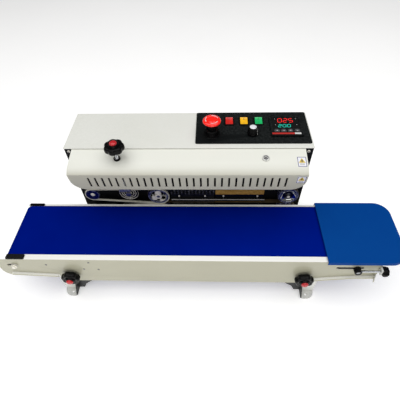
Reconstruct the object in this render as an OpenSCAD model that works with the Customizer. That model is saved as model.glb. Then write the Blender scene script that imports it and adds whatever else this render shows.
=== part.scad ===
// Continuous band sealer: a sealing head over a belt conveyor, on a low base.
// Millimetres. +X runs along the conveyor, +Y points to the back, +Z is up.
// The origin is on the table, under the middle of the machine. Bags run towards -X.

/* [Head] */
// Width of the head across its side panels
head_w = 552; // [548:1:556]
// Height of the head's top face above the table
head_h = 320.5; // [320:0.5:322]
// Place of the head's middle along the conveyor
head_cx = -20; // [-22:1:-18]
// Place of the wall board's front face
wall_y = 27.5; // [27.5:0.5:28]
// Place of the back face of the upper box
box_back_y = 155; // [153:1:158]
// Place of the back face of the lower rear housing
rear_y = 178; // [174:1:180]
// Thickness of the cover sheet
sheet = 2; // [1.5:0.5:2]

/* [Sealing line] */
// Height of the seal line, where the upper and lower bands meet
seal_z = 150; // [150:0.5:151]
// Place of the drive wheels along the machine
drive_x = -98.5; // [-100:0.5:-97]
// Radius of the drive wheels under the sealing band
drive_r = 26; // [25.5:0.5:26]
// Place of the idler wheels along the machine
idler_x = 220.5; // [219:0.5:222]
// Radius of the idler wheels under the sealing band
idler_r = 24.5; // [24:0.5:25]
// Place of the guide pulleys along the machine
guide_x = -261.5; // [-263:0.5:-260]
// Place of the emboss wheel along the machine
emboss_x = -172; // [-174:0.5:-170]
// Radius of the emboss wheel
emboss_r = 24.5; // [24:0.5:25]

/* [Conveyor] */
// Height of the belt's carrying face above the table
belt_z = 148; // [147:0.5:149]
// Place of the outer face of the conveyor's front plate
front_y = -154.5; // [-155:0.5:-154]
// Place of the outer face of the conveyor's rear plate
back_y = 9; // [8.5:0.5:9]
// Left end of the conveyor plates
plate_x0 = -463; // [-465:1:-460]
// Right end of the conveyor plates
plate_x1 = 410.5; // [409:0.5:412]
// Height of the plates' lower edge over the middle stretch
plate_z0 = 52.5; // [50:0.5:56]
// Place of the left roller along the machine
roller_x0 = -422; // [-424:1:-420]
// Place of the right roller along the machine
roller_x1 = 358; // [356:1:359]
// Outer radius of the belt where it turns round a roller
belt_r = 24; // [23:0.5:24]

/* [Controls] */
// Height of the clamp knobs' axes
clamp_z = 84.5; // [82:0.5:86]
// Diameter over the lobes of the clamp and pressure knobs
knob_d = 44; // [42:1:46]
// Diameter of the emergency stop's mushroom
estop_d = 40; // [38:1:42]

/* [Hidden] */
$fn = 64;

eps = 0.01;
gap = 0.3;
// Head
head_x0 = head_cx - head_w / 2;
head_x1 = head_cx + head_w / 2;
wall_t = 6;
wall_back = wall_y + wall_t;
pan_y0 = 20;
pan_z0 = 14;
pan_z1 = 34;
cover_z1 = head_h;
box_under = cover_z1 - sheet;
step_z = 220;
guard_x0 = head_cx - 257.5;
guard_x1 = head_cx + 257;
guard_t = 1.5;
// Outline of the guard's outer face, from the wall down to the vent panel's lower edge, as [y, z]
guard_outer = [[wall_y - gap, head_h - 2.6], [-24, head_h - 12.2], [-36, head_h - 21.5],
    [-28.5, head_h - 74.5]];
guard_slope = atan2(guard_outer[0][1] - guard_outer[1][1], guard_outer[0][0] - guard_outer[1][0]);
vent_lean = atan2(guard_outer[3][0] - guard_outer[2][0], guard_outer[2][1] - guard_outer[3][1]);
vent_count = 29;
vent_pitch = 15.3;
vent_w = 4.2;
vent_cx = head_cx - 0.5;
// Control panel
panel_x0 = head_x1 - 259;
panel_x1 = head_x1 - 3;
panel_y0 = 39.5;
panel_y1 = 152.5;
panel_z = head_h + 2;
estop_x = 33.5;
estop_y = 72.5;
rocker_xs = [74, 108, 142];
rocker_y = 117;
rocker_l = 21.6;
rocker_w = 16.6;
rocker_tilt = 8;
rocker_z = panel_z - 2.5;
speed_x = 125;
speed_y = 72;
ctrl_x = 202.5;
ctrl_y = 96;
ctrl_w = 72;
ctrl_z = panel_z + 4;
key_pitch = 15;
key_xs = [for (i = [0 : 3]) ctrl_x + (i - 1.5) * key_pitch];
key_y = 77;
// Sealing line
band_t = 0.8;
band_gap = 0.3;
band_y0 = 15.5;
band_y1 = 25.5;
guide_t = 1.8;
guide_y0 = 10;
guide_y1 = 14.5;
guide_r = 17;
track_r = 25;
line_gap = 0.4;
drive_z = seal_z + line_gap + band_t + band_gap + drive_r;
idler_z = seal_z + line_gap + band_t + band_gap + idler_r;
guide_z = seal_z + 33;
emboss_z = seal_z + 33.5;
rubber_r = 24;
rubber_z = seal_z - 0.5 - rubber_r;
wheel_y0 = 9.7;
wheel_y1 = 26.5;
shaft_r = 6;
bearing_y1 = wall_back + 10;
gear_y0 = 50;
gear_w = 10;
gear_teeth = 22;
gear_r = drive_z - seal_z;
sprocket_y0 = 63;
sprocket_w = 4;
sprocket_r = 21.5;
motor_x = -20;
motor_z = 92;
pinion_r = 15.5;
block_x0 = -67;
block_x1 = 160;
block_split = 40.5;
block_z0 = seal_z + 34;
block_z1 = seal_z + 49;
foot_z0 = seal_z + line_gap + band_t + 0.4;
rail_z0 = seal_z + 10;
rail_z1 = seal_z + 17;
rail_pin_xs = [-47, 17, 62, 145];
// Pressure screw over the emboss wheel
press_x = -171.5;
press_y = 0.5;
press_guard_z = guard_outer[0][1] - (guard_outer[0][0] - press_y) * tan(guard_slope);
carriage_z0 = emboss_z + 29;
carriage_z1 = carriage_z0 + 13;
press_knob_z0 = head_h + 10;
bush_x = 149;
// Conveyor
plate_t = 2;
flange_z = belt_z + 1;
flange_x0 = roller_x0 - 12;
rear_plate_x0 = roller_x0 - 14;
end_z = 77;
end_r = 24;
front_flange_w = 13.7;
rear_flange_w = 5.7;
belt_y0 = front_y + 14.2;
belt_y1 = back_y - rear_flange_w - 0.5;
belt_t = 2;
roller_z = belt_z - belt_r;
roller_r = belt_r - belt_t - 0.3;
axle_r = 4;
deep_x0 = -331;
deep_x1 = 272;
// Lower edge of the plates' end stretches, as [x, z]
left_edge = [[deep_x0, 83.5], [-441, 92.5]];
right_edge = [[deep_x1, 76], [318, 84], [358, 90], [404, 92]];
lip_w = 6;
lip_h = 5;
tray_x0 = 288.5;
tray_x1 = 463;
tray_y0 = front_y - 4;
tray_y1 = back_y + 2.5;
tray_z = belt_z + 5.6;
tray_corner = 35;
// Clamps, as the x of each knob's axis
clamp_xs = [-300, 247];
bracket_in = 12;
bracket_w = 31;
bracket_x0 = clamp_xs[0] - 40;
arm_x0 = bracket_x0 + bracket_w;
leg_y = front_y + 4;
leg_t = 3;
toe_y = -171;
toe_r = 20;
arm_w = 12;
arm_z0 = 6;
arm_z1 = 26;
tension_y = front_y - 7.5;
tension_z = roller_z;
boss_y0 = front_y - 13.5;

// ---------- shared shapes ----------

// Box between two corners
module box(a, b) {
    translate(a)
        cube([b[0] - a[0], b[1] - a[1], b[2] - a[2]]);
}

// Cylinder along +Y from y0 to y1
module rod_y(x, z, r, y0, y1) {
    translate([x, y0, z])
        rotate([-90, 0, 0])
            cylinder(r = r, h = y1 - y0);
}

// Cylinder along +X from x0 to x1
module rod_x(y, z, r, x0, x1) {
    translate([x0, y, z])
        rotate([0, 90, 0])
            cylinder(r = r, h = x1 - x0);
}

// Box with its four upright edges rounded
module round_box(a, b, r) {
    translate([0, 0, a[2]])
        linear_extrude(b[2] - a[2])
            round_rect(a, b, r);
}

// Rectangle with rounded corners
module round_rect(a, b, r) {
    translate([a[0] + r, a[1]])
        square([b[0] - a[0] - 2 * r, b[1] - a[1]]);
    translate([a[0], a[1] + r])
        square([b[0] - a[0], b[1] - a[1] - 2 * r]);
    for (x = [a[0] + r, b[0] - r])
        for (y = [a[1] + r, b[1] - r])
            translate([x, y])
                circle(r);
}

// Mirrors its children to the other side of the seal line
module below_seal() {
    translate([0, 0, 2 * seal_z])
        mirror([0, 0, 1])
            children();
}

// Puts its children's XY outline upright in the XZ plane, from y0 to y1
module upright(y0, y1) {
    translate([0, y1, 0])
        rotate([90, 0, 0])
            linear_extrude(y1 - y0)
                children();
}

// Open loop of belt round two wheels, in the XZ plane
module belt_loop(x0, z0, r0, x1, z1, r1, t, y0, y1) {
    upright(y0, y1)
        difference() {
            loop_outline(x0, z0, r0 + t, x1, z1, r1 + t);
            loop_outline(x0, z0, r0, x1, z1, r1);
        }
}

module loop_outline(x0, z0, r0, x1, z1, r1) {
    hull() {
        translate([x0, z0])
            circle(r0, $fn = 96);
        translate([x1, z1])
            circle(r1, $fn = 96);
    }
}

// Straight-sided gear tooth points round a wheel
function tooth(i, n, root, tip, half_root, half_tip) = [for (s = [[root, -half_root], [tip, -half_tip],
    [tip, half_tip], [root, half_root]]) let (a = 360 * i / n + s[1]) [s[0] * cos(a), s[0] * sin(a)]];

module gear_outline(n, pitch_r, addendum, dedendum, turn) {
    root = pitch_r - dedendum;
    tip = pitch_r + addendum;
    half_pitch = 90 / n - 0.9;
    half_tip = half_pitch - addendum * tan(20) / tip * 180 / PI;
    half_root = half_pitch + dedendum * tan(20) / root * 180 / PI;
    rotate(turn)
        polygon([for (i = [0 : n - 1]) each tooth(i, n, root, tip, half_root, half_tip)]);
}

// Lobed hand knob along +Z with a raised boss, base at z = 0
module lobed_knob(d, h, boss_h) {
    scoop_r = d * 0.13;
    difference() {
        cylinder(r = d / 2, h = h);
        for (i = [0 : 6])
            rotate((i + 0.5) * 360 / 7)
                translate([d * 0.53, 0, -1])
                    cylinder(r = scoop_r, h = h + 2);
    }
    cylinder(r = d / 4, h = h + boss_h);
}

// Domed cap in a hand knob's face, base at z = 0
module knob_cap(r, h) {
    rotate_extrude($fn = 64)
        intersection() {
            square([r, h]);
            translate([0, h - cap_ball(r, h)])
                circle(cap_ball(r, h), $fn = 128);
        }
}

function cap_ball(r, h) = (r * r + h * h * 0.64) / (2 * h * 0.8);

// Row of counts from a to b
function steps(a, b, n) = [for (i = [0 : n - 1]) a + (b - a) * i / (n - 1)];

// ---------- base and covers ----------

module base_pan() {
    color("ivory")
        difference() {
            box([head_x0, pan_y0, pan_z0], [head_x1, rear_y + 2, pan_z1]);
            box([head_x0 + sheet, pan_y0 + sheet, pan_z0 - 1],
                [head_x1 - sheet, rear_y + 2 - sheet, pan_z1 - sheet]);
        }
}

module rubber_feet() {
    color("black")
        for (x = [head_x0 + 25, head_x1 - 25])
            for (y = [pan_y0 + 25, rear_y - 20])
                translate([x, y, 0]) {
                    cylinder(r1 = 14, r2 = 16, h = pan_z0);
                    cylinder(r = 8, h = pan_z1 - sheet);
                }
}

// One black arm on the left side, with a wing behind the leg and a rib along the toe;
// the right arm is its mirror image
module support_arm() {
    wing_y = leg_y + leg_t + gap;
    rib_y = wing_y + 2;
    box([arm_x0, wing_y, arm_z0], [arm_x0 + arm_w, pan_y0, arm_z1]);
    along_x(arm_x0, arm_x0 + 3)
        polygon([[toe_y + 1, leg_t], [rib_y, leg_t], [rib_y, 43]]);
    upright(wing_y, wing_y + 3.7)
        polygon([[arm_x0, leg_t], [arm_x0 + 16, leg_t], [arm_x0 + 25, 22], [arm_x0 + 44, 38],
            [arm_x0 + 33, 46], [arm_x0, 50]]);
    box([arm_x0, pan_y0 - 4, arm_z0], [arm_x0 + 30, pan_y0, pan_z1]);
}

// Mirrors a left-hand piece to the right-hand clamp
module to_right_clamp() {
    translate([clamp_xs[0] + clamp_xs[1], 0, 0])
        mirror([1, 0, 0])
            children();
}

module support_arms() {
    color("dimgray") {
        support_arm();
        to_right_clamp()
            support_arm();
    }
}

// L bracket with a slotted upright leg behind the conveyor's front plate, and a toe on the table
module leg_bracket() {
    difference() {
        union() {
            box([bracket_x0, leg_y, 0], [bracket_x0 + bracket_w, leg_y + leg_t, 110]);
            box([arm_x0 - 1, leg_y, 52], [clamp_xs[0] + bracket_in, leg_y + leg_t, 110]);
            bracket_toe();
        }
        for (z = [clamp_z - 26, clamp_z + 11])
            rod_y(clamp_xs[0], z, 4.5, leg_y - 1, leg_y + leg_t + 1);
        box([clamp_xs[0] - 4.5, leg_y - 1, clamp_z - 26],
            [clamp_xs[0] + 4.5, leg_y + leg_t + 1, clamp_z + 11]);
        translate([bracket_x0 + toe_r, toe_y + 11, -1])
            cylinder(r = 2.75, h = leg_t + 2);
    }
}

// Toe with its outer front corner rounded
module bracket_toe() {
    difference() {
        box([bracket_x0, toe_y, 0], [arm_x0, leg_y + leg_t, leg_t]);
        difference() {
            box([bracket_x0 - 1, toe_y - 1, -1], [bracket_x0 + toe_r, toe_y + toe_r, leg_t + 1]);
            translate([bracket_x0 + toe_r, toe_y + toe_r, -2])
                cylinder(r = toe_r, h = leg_t + 4);
        }
    }
}

module leg_brackets() {
    color("gainsboro") {
        leg_bracket();
        to_right_clamp()
            leg_bracket();
    }
}

module wall_board() {
    color("black")
        difference() {
            box([head_x0 + 1, wall_y, pan_z1], [head_x1 - 1, wall_back, box_under]);
            for (p = shaft_places)
                rod_y(p[0], p[1], shaft_r + 2, wall_y - 1, wall_back + 1);
        }
}

shaft_places = [[drive_x, drive_z], [drive_x, 2 * seal_z - drive_z], [idler_x, idler_z],
    [idler_x, 2 * seal_z - idler_z], [guide_x, guide_z], [guide_x, 2 * seal_z - guide_z],
    [emboss_x, rubber_z]];

module top_cover() {
    color("ivory")
        difference() {
            union() {
                box([head_x0, wall_y - 1.5, box_under], [head_x1, box_back_y, cover_z1]);
                box([head_x0, wall_back + gap, pan_z1], [head_x0 + sheet, box_back_y, box_under + eps]);
                box([head_x1 - sheet, wall_back + gap, pan_z1], [head_x1, box_back_y, box_under + eps]);
            }
            box([panel_x0 + 12, panel_y0 + 10, box_under - 1], [panel_x1 - 10, panel_y1 - 10, cover_z1 + 1]);
        }
}

module rear_cover() {
    x0 = head_x0 + sheet + gap;
    x1 = head_x1 - sheet - gap;
    color("ivory")
        difference() {
            union() {
                box([x0, box_back_y - sheet, step_z - 4], [x1, box_back_y, box_under]);
                box([x0, box_back_y - sheet, pan_z1], [x1, rear_y, step_z]);
            }
            box([x0 + sheet, box_back_y - sheet - 1, pan_z1 - 1],
                [x1 - sheet, rear_y - sheet, step_z - sheet]);
            for (x = steps(head_cx + 40, head_cx + 180, 15))
                box([x, rear_y - sheet - 1, 80], [x + 3, rear_y + 1, 150]);
            box([head_x0 + 42, rear_y - sheet - 1, 52], [head_x0 + 70, rear_y + 1, 72]);
        }
}

module cover_screws() {
    color("silver") {
        for (p = [[head_x0 + 10, head_h - 10], [head_x1 - 11, head_h - 11], [head_x0 + 10, 60],
            [head_x1 - 11, 60]])
            rod_y(p[0], p[1], 3.5, wall_y - 2, wall_y);
        for (x = [head_x0 + 12, head_cx, head_x1 - 12])
            rod_y(x, step_z + 85, 3.5, box_back_y, box_back_y + 2);
        for (x = [head_x0 + 12, head_x1 - 12])
            rod_y(x, pan_z1 + 20, 3.5, rear_y, rear_y + 2);
    }
}

// ---------- guard ----------

function edge_normal(a, b) = [-(b[1] - a[1]), b[0] - a[0]] / norm(b - a);

// Points of the guard's inner face, one sheet thickness inside the outer face
guard_normals = [for (i = [0 : 2]) edge_normal(guard_outer[i], guard_outer[i + 1])];
guard_inner = [for (i = [0 : 3]) let (n1 = guard_normals[max(i - 1, 0)], n2 = guard_normals[min(i, 2)])
    guard_outer[i] + guard_t * (n1 + n2) / (1 + n1 * n2)];

// Turns its children's XY outline into a bar along X with the outline in the YZ plane
module along_x(x0, x1) {
    translate([x0, 0, 0])
        rotate([90, 0, 90])
            linear_extrude(x1 - x0)
                children();
}

module front_guard() {
    corner = 32;
    vent_mid = (guard_outer[2] + guard_outer[3]) / 2;
    color("ivory")
        difference() {
            union() {
                along_x(guard_x0, guard_x1)
                    polygon([for (i = [0 : 3]) guard_outer[i], for (i = [3 : -1 : 0]) guard_inner[i]]);
                box([guard_x0, wall_y - gap - guard_t, guard_outer[0][1] - 16],
                    [guard_x1, wall_y - gap, guard_outer[0][1] - 0.5]);
            }
            for (x = steps(vent_cx - 14 * vent_pitch, vent_cx + 14 * vent_pitch, vent_count))
                translate([x, vent_mid[0], vent_mid[1]])
                    rotate([vent_lean, 0, 0])
                        box([-vent_w / 2, -4, -17], [vent_w / 2, 4, 17]);
            for (s = [0, 1])
                translate([s == 0 ? guard_x0 : guard_x1, 0, guard_outer[3][1]])
                    mirror([s, 0, 0])
                        difference() {
                            box([-1, -45, -1], [corner, -20, corner]);
                            rod_y(corner, corner, corner, -50, -10);
                        }
            translate([press_x, press_y, 0])
                cylinder(r = 5.2, h = 400);
            translate([bush_x, press_y, 0])
                cylinder(r = 5.2, h = 400);
        }
}

// Threaded bushes in the guard's sloping top
module guard_bushes() {
    color("silver")
        for (x = [press_x, bush_x])
            difference() {
                translate([x, press_y, press_guard_z - 8])
                    union() {
                        cylinder(r = 5, h = 13);
                        translate([0, 0, 8])
                            rotate([guard_slope, 0, 0])
                                cylinder(r = 7.6, h = 4);
                    }
                translate([x, press_y, 0])
                    cylinder(r = 4.05, h = 400);
            }
}

// Blank plates where the guard carries its notices
module guard_labels() {
    top_mid = (guard_outer[0] + guard_outer[1]) / 2;
    vent_mid = (guard_outer[2] + guard_outer[3]) / 2;
    color("gold") {
        translate([guard_x1 - 12.5, top_mid[0] - 10, top_mid[1] - 10 * tan(guard_slope)])
            rotate([guard_slope, 0, 0])
                box([-9.5, -13, 0], [9.5, 13, 0.4]);
        translate([guard_x1 - 12.5, vent_mid[0], vent_mid[1]])
            rotate([vent_lean, 0, 0])
                box([-9.5, -0.4, -1], [9.5, 0, 22]);
    }
}

// ---------- control panel ----------

module control_panel() {
    color("black")
        difference() {
            round_box([panel_x0, panel_y0, cover_z1], [panel_x1, panel_y1, panel_z], 4);
            translate([estop_x, estop_y, 0])
                cylinder(r = 11.3, h = 400);
            translate([speed_x, speed_y, 0])
                cylinder(r = 5, h = 400);
            for (x = rocker_xs)
                box([x - 10, rocker_y - 13.3, 300], [x + 10, rocker_y + 13.3, 340]);
            box([ctrl_x - 34, ctrl_y - 34, 300], [ctrl_x + 34, ctrl_y + 34, 340]);
        }
}

module estop_base() {
    color("black")
        translate([estop_x, estop_y, 0])
            difference() {
                union() {
                    translate([0, 0, panel_z])
                        cylinder(r = 15, h = 14);
                    translate([0, 0, panel_z - 32])
                        cylinder(r = 11, h = 34);
                    box([-14, -10, panel_z - 56], [14, 10, panel_z - 30]);
                }
                translate([0, 0, panel_z - 8])
                    cylinder(r = 9.4, h = 40);
            }
}

module estop_button() {
    color("red")
        translate([estop_x, estop_y, 0]) {
            translate([0, 0, panel_z + 2])
                cylinder(r = 9, h = 30);
            translate([0, 0, panel_z + 31])
                cylinder(r1 = estop_d / 2 - 6, r2 = estop_d / 2, h = 3);
            translate([0, 0, panel_z + 34])
                cylinder(r = estop_d / 2, h = 3);
            translate([0, 0, panel_z + 37])
                knob_cap(estop_d / 2, 3);
        }
}

// Rocker housings with their bezels, and the body of the speed control behind the panel
module switch_housings() {
    color("black") {
        for (x = rocker_xs)
            translate([x, rocker_y, 0])
                difference() {
                    union() {
                        round_box([-11.5, -14.8, panel_z], [11.5, 14.8, panel_z + 2], 2);
                        box([-9.8, -13, panel_z - 24], [9.8, 13, panel_z + 1]);
                    }
                    box([-8.7, -12.2, panel_z - 14], [8.7, 12.2, panel_z + 5]);
                    rod_x(0, rocker_z, 1.6, -9.4, 9.4);
                }
        translate([speed_x, speed_y, 0])
            difference() {
                union() {
                    translate([0, 0, panel_z - 8])
                        cylinder(r = 4.8, h = 8);
                    translate([0, 0, panel_z - 22])
                        cylinder(r = 12, h = 15);
                }
                translate([0, 0, panel_z - 10])
                    cylinder(r = 3.05, h = 40);
            }
    }
}

// Rocker with a shallow V on top, resting with one end down
module rocker(x) {
    h = rocker_l / 2;
    translate([x, rocker_y, rocker_z])
        rotate([rocker_tilt, 0, 0]) {
            along_x(-rocker_w / 2, rocker_w / 2)
                polygon([[-h, 5.5], [0, 4.2], [h, 5.5], [h, -0.5], [4, -5], [-4, -5], [-h, -0.5]]);
            rod_x(0, 0, 1.5, -9.2, 9.2);
        }
}

module rocker_power() {
    color("red")
        rocker(rocker_xs[0]);
}

module rocker_heat() {
    color("gold")
        rocker(rocker_xs[1]);
}

module rocker_fan() {
    color("limegreen")
        rocker(rocker_xs[2]);
}

module speed_knob() {
    color("dimgray")
        translate([speed_x, speed_y, 0])
            difference() {
                union() {
                    translate([0, 0, panel_z - 8])
                        cylinder(r = 3, h = 12);
                    translate([0, 0, panel_z + 0.6])
                        cylinder(r1 = 12.5, r2 = 11, h = 4);
                    translate([0, 0, panel_z + 4.6])
                        cylinder(r1 = 11.2, r2 = 10.2, h = 14);
                    translate([0, 0, panel_z + 18.6])
                        cylinder(r = 8, h = 1);
                }
                for (i = [0 : 17])
                    rotate(i * 20)
                        translate([11.7, 0, panel_z + 6])
                            cylinder(r = 1, h = 14, $fn = 16);
            }
}

module temperature_controller() {
    color("dimgray")
        difference() {
            union() {
                round_box([ctrl_x - ctrl_w / 2, ctrl_y - ctrl_w / 2, panel_z],
                    [ctrl_x + ctrl_w / 2, ctrl_y + ctrl_w / 2, ctrl_z], 3);
                box([ctrl_x - 33.5, ctrl_y - 33.5, panel_z - 62],
                    [ctrl_x + 33.5, ctrl_y + 33.5, panel_z + 1]);
            }
            box([ctrl_x - 31, ctrl_y - 11, ctrl_z - 1], [ctrl_x + 31, ctrl_y + 30, ctrl_z + 1]);
            for (x = key_xs)
                box([x - 4.5, key_y - 3, ctrl_z - 5], [x + 4.5, key_y + 3, ctrl_z + 1]);
        }
}

module controller_key(i) {
    color("gray")
        box([key_xs[i] - 4, key_y - 2.5, ctrl_z - 2.5], [key_xs[i] + 4, key_y + 2.5, ctrl_z + 1]);
}

module key_set() {
    controller_key(0);
}

module key_shift() {
    controller_key(1);
}

module key_down() {
    controller_key(2);
}

module key_up() {
    controller_key(3);
}

module power_inlet() {
    x0 = head_x0 + 42;
    color("black")
        difference() {
            union() {
                box([x0 - 4, rear_y, 48], [x0 + 32, rear_y + 2, 76]);
                box([x0 + gap, rear_y - 24, 52 + gap], [x0 + 28 - gap, rear_y + 1, 72 - gap]);
            }
            box([x0 + 3, rear_y - 18, 55], [x0 + 25, rear_y + 3, 69]);
        }
}

// ---------- sealing line ----------

module bearing_housings() {
    color("gray")
        for (p = shaft_places)
            difference() {
                union() {
                    rod_y(p[0], p[1], 13, wall_back, bearing_y1);
                    rod_y(p[0], p[1], 17, wall_back, wall_back + 3);
                }
                rod_y(p[0], p[1], shaft_r + 0.05, wall_back - 1, bearing_y1 + 1);
            }
}

// Drive wheel with a front track for the guide belt, three spokes and a shaft to the gears
module drive_wheel(z, shaft_end) {
    difference() {
        union() {
            rod_y(drive_x, z, track_r, wheel_y0, band_y0);
            rod_y(drive_x, z, drive_r, band_y0 - 0.5, wheel_y1);
        }
        rod_y(drive_x, z, track_r - 5, wheel_y0 - 1, wheel_y1 + 1);
    }
    rod_y(drive_x, z, 9, wheel_y0, wheel_y1);
    for (a = [30, 150, 270])
        translate([drive_x, wheel_y0 + 1, z])
            rotate([0, -a, 0])
                box([0, 0, -3.2], [track_r - 4, wheel_y1 - wheel_y0 - 2, 3.2]);
    rod_y(drive_x, z, shaft_r, wheel_y1 - 1, shaft_end);
}

module drive_wheel_upper() {
    color("royalblue")
        drive_wheel(drive_z, gear_y0 + gear_w + 2);
}

module drive_wheel_lower() {
    color("royalblue")
        drive_wheel(2 * seal_z - drive_z, sprocket_y0 + sprocket_w + 3);
}

module bored_gear(z, turn) {
    difference() {
        upright(gear_y0, gear_y0 + gear_w)
            translate([drive_x, z])
                gear_outline(gear_teeth, gear_r, 2.2, 2.9, turn);
        rod_y(drive_x, z, shaft_r, gear_y0 - 1, gear_y0 + gear_w + 1);
    }
}

module drive_gear_upper() {
    color("darkgray")
        bored_gear(drive_z, 0);
}

module drive_gear_lower() {
    z = 2 * seal_z - drive_z;
    color("darkgray") {
        bored_gear(z, 90);
        difference() {
            union() {
                rod_y(drive_x, z, 11, gear_y0 + gear_w, sprocket_y0 + sprocket_w);
                upright(sprocket_y0, sprocket_y0 + sprocket_w)
                    translate([drive_x, z])
                        gear_outline(18, sprocket_r - 3, 3, 1, 0);
            }
            rod_y(drive_x, z, shaft_r, gear_y0 - 1, sprocket_y0 + sprocket_w + 1);
        }
    }
}

module motor_sprocket() {
    color("darkgray") {
        rod_y(motor_x, motor_z, 5, sprocket_y0 - 1, 82);
        rod_y(motor_x, motor_z, 9, sprocket_y0 + sprocket_w - 1, sprocket_y0 + sprocket_w + 4);
        upright(sprocket_y0, sprocket_y0 + sprocket_w)
            translate([motor_x, motor_z])
                gear_outline(13, pinion_r - 3, 3, 1, 0);
    }
}

module drive_chain() {
    color("slategray")
        belt_loop(motor_x, motor_z, pinion_r + 0.4, drive_x, 2 * seal_z - drive_z, sprocket_r + 0.4, 4,
            sprocket_y0 - 0.5, sprocket_y0 + sprocket_w + 0.5);
}

// Gear motor on a foot that stands on the base pan
module gear_motor() {
    color("slategray")
        difference() {
            union() {
                box([motor_x - 40, 75, 50], [motor_x + 40, 102, 134]);
                box([motor_x - 48, 75, pan_z1], [motor_x + 48, 102, 51]);
                rod_y(motor_x, motor_z, 37, 101, 150);
            }
            rod_y(motor_x, motor_z, 5.05, 70, 84);
        }
}

// Idler wheel with a recessed face and a collar behind its bearing
module idler_wheel(z) {
    difference() {
        rod_y(idler_x, z, idler_r, wheel_y0 + 2, wheel_y1);
        rod_y(idler_x, z, idler_r - 6, wheel_y0, wheel_y0 + 6);
    }
    rod_y(idler_x, z, 9, wheel_y0 + 1, wheel_y1);
    rod_y(idler_x, z, shaft_r, wheel_y1 - 1, bearing_y1 + 1);
    rod_y(idler_x, z, 10, bearing_y1 + 0.5, bearing_y1 + 5);
}

module idler_wheel_upper() {
    color("royalblue")
        idler_wheel(idler_z);
}

module idler_wheel_lower() {
    color("royalblue")
        idler_wheel(2 * seal_z - idler_z);
}

module guide_pulley(z) {
    rod_y(guide_x, z, guide_r, wheel_y0, band_y0);
    rod_y(guide_x, z, 8, wheel_y0, wheel_y1);
    rod_y(guide_x, z, shaft_r, wheel_y1 - 1, bearing_y1 + 1);
    rod_y(guide_x, z, 10, bearing_y1 + 0.5, bearing_y1 + 5);
}

module guide_pulley_upper() {
    color("royalblue")
        guide_pulley(guide_z);
}

module guide_pulley_lower() {
    color("royalblue")
        guide_pulley(2 * seal_z - guide_z);
}

// Carriage that holds the emboss wheel's pin and slides on the wall board
module emboss_carriage() {
    color("silver") {
        box([emboss_x - 13, press_y - 6, carriage_z0], [emboss_x + 13, wall_y - gap, carriage_z1]);
        box([emboss_x - 13, 23.4, emboss_z - 12], [emboss_x + 13, wall_y - gap, carriage_z1]);
        rod_y(emboss_x, emboss_z, 4, wheel_y0 + 2, 24);
        rod_y(emboss_x, emboss_z, 6.5, wheel_y0 + 1.5, wheel_y0 + 4);
    }
}

module emboss_wheel() {
    color("silver")
        difference() {
            rod_y(emboss_x, emboss_z, emboss_r, band_y0, 23);
            rod_y(emboss_x, emboss_z, 4.06, 0, 40);
            difference() {
                rod_y(emboss_x, emboss_z, emboss_r - 3, band_y0 - 1, band_y0 + 1.5);
                rod_y(emboss_x, emboss_z, 11, band_y0 - 2, band_y0 + 3);
            }
        }
}

module rubber_wheel() {
    color("darkslategray") {
        rod_y(emboss_x, rubber_z, rubber_r, band_y0, 24);
        rod_y(emboss_x, rubber_z, 9, wheel_y0 + 4, wheel_y1);
        rod_y(emboss_x, rubber_z, shaft_r, wheel_y1 - 1, bearing_y1 + 1);
        rod_y(emboss_x, rubber_z, 10, bearing_y1 + 0.5, bearing_y1 + 5);
    }
}

module sealing_band_upper() {
    color("tan")
        belt_loop(drive_x, drive_z, drive_r + band_gap, idler_x, idler_z, idler_r + band_gap, band_t,
            band_y0, band_y1);
}

module sealing_band_lower() {
    color("tan")
        below_seal()
            belt_loop(drive_x, drive_z, drive_r + band_gap, idler_x, idler_z, idler_r + band_gap, band_t,
                band_y0, band_y1);
}

module guide_belt_upper() {
    color("wheat")
        belt_loop(guide_x, guide_z, guide_r + band_gap, drive_x, drive_z, track_r + band_gap, guide_t,
            guide_y0, guide_y1);
}

module guide_belt_lower() {
    color("wheat")
        below_seal()
            belt_loop(guide_x, guide_z, guide_r + band_gap, drive_x, drive_z, track_r + band_gap, guide_t,
                guide_y0, guide_y1);
}

// Brass heater block: a wide head on a narrow foot that runs behind the band
module heater_block() {
    box([block_split + 2, 12, block_z0], [block_x1, wall_y, block_z1]);
    box([block_split + 2, 16.5, foot_z0], [block_x1, 24.5, block_z0 + 1]);
}

module heater_block_upper() {
    color("peru")
        heater_block();
}

module heater_block_lower() {
    color("peru")
        below_seal()
            heater_block();
}

// Finned cooling block on the outfeed side of the heater
module cooling_block() {
    box([block_x0, 16, block_z0], [block_split - 1, wall_y, block_z1]);
    for (x = steps(block_x0, block_split - 4, 13))
        box([x, 11.6, block_z0], [x + 3, 17, block_z1]);
    box([block_x0, 12, block_z0], [block_split - 1, 17, block_z0 + 3]);
    box([block_x0, 16.5, foot_z0], [block_split - 1, 24.5, block_z0 + 1]);
}

module cooling_blocks() {
    color("darkslategray") {
        cooling_block();
        below_seal()
            cooling_block();
    }
}

// Guard rail in front of the band, hung on four long screws from the blocks
module band_rail() {
    box([block_x0, 12, rail_z0], [block_x1 + 4, 15, rail_z1]);
    for (x = rail_pin_xs)
        translate([x, 13.5, rail_z1 - 1])
            cylinder(r = 1.8, h = block_z0 - rail_z1 + 1);
}

module band_rails() {
    color("gray") {
        band_rail();
        below_seal()
            band_rail();
    }
}

// ---------- pressure knob ----------

module pressure_knob() {
    color("black")
        translate([press_x, press_y, 0]) {
            translate([0, 0, carriage_z1 + 1])
                cylinder(r = 4, h = press_knob_z0 - carriage_z1);
            translate([0, 0, press_knob_z0 - 2])
                cylinder(r = 9, h = 12);
            translate([0, 0, press_knob_z0 + 8])
                lobed_knob(knob_d, 14, 3);
            translate([0, 0, press_knob_z0 + 24])
                knob_cap(8, 5.5);
        }
}

// ---------- conveyor ----------

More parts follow.
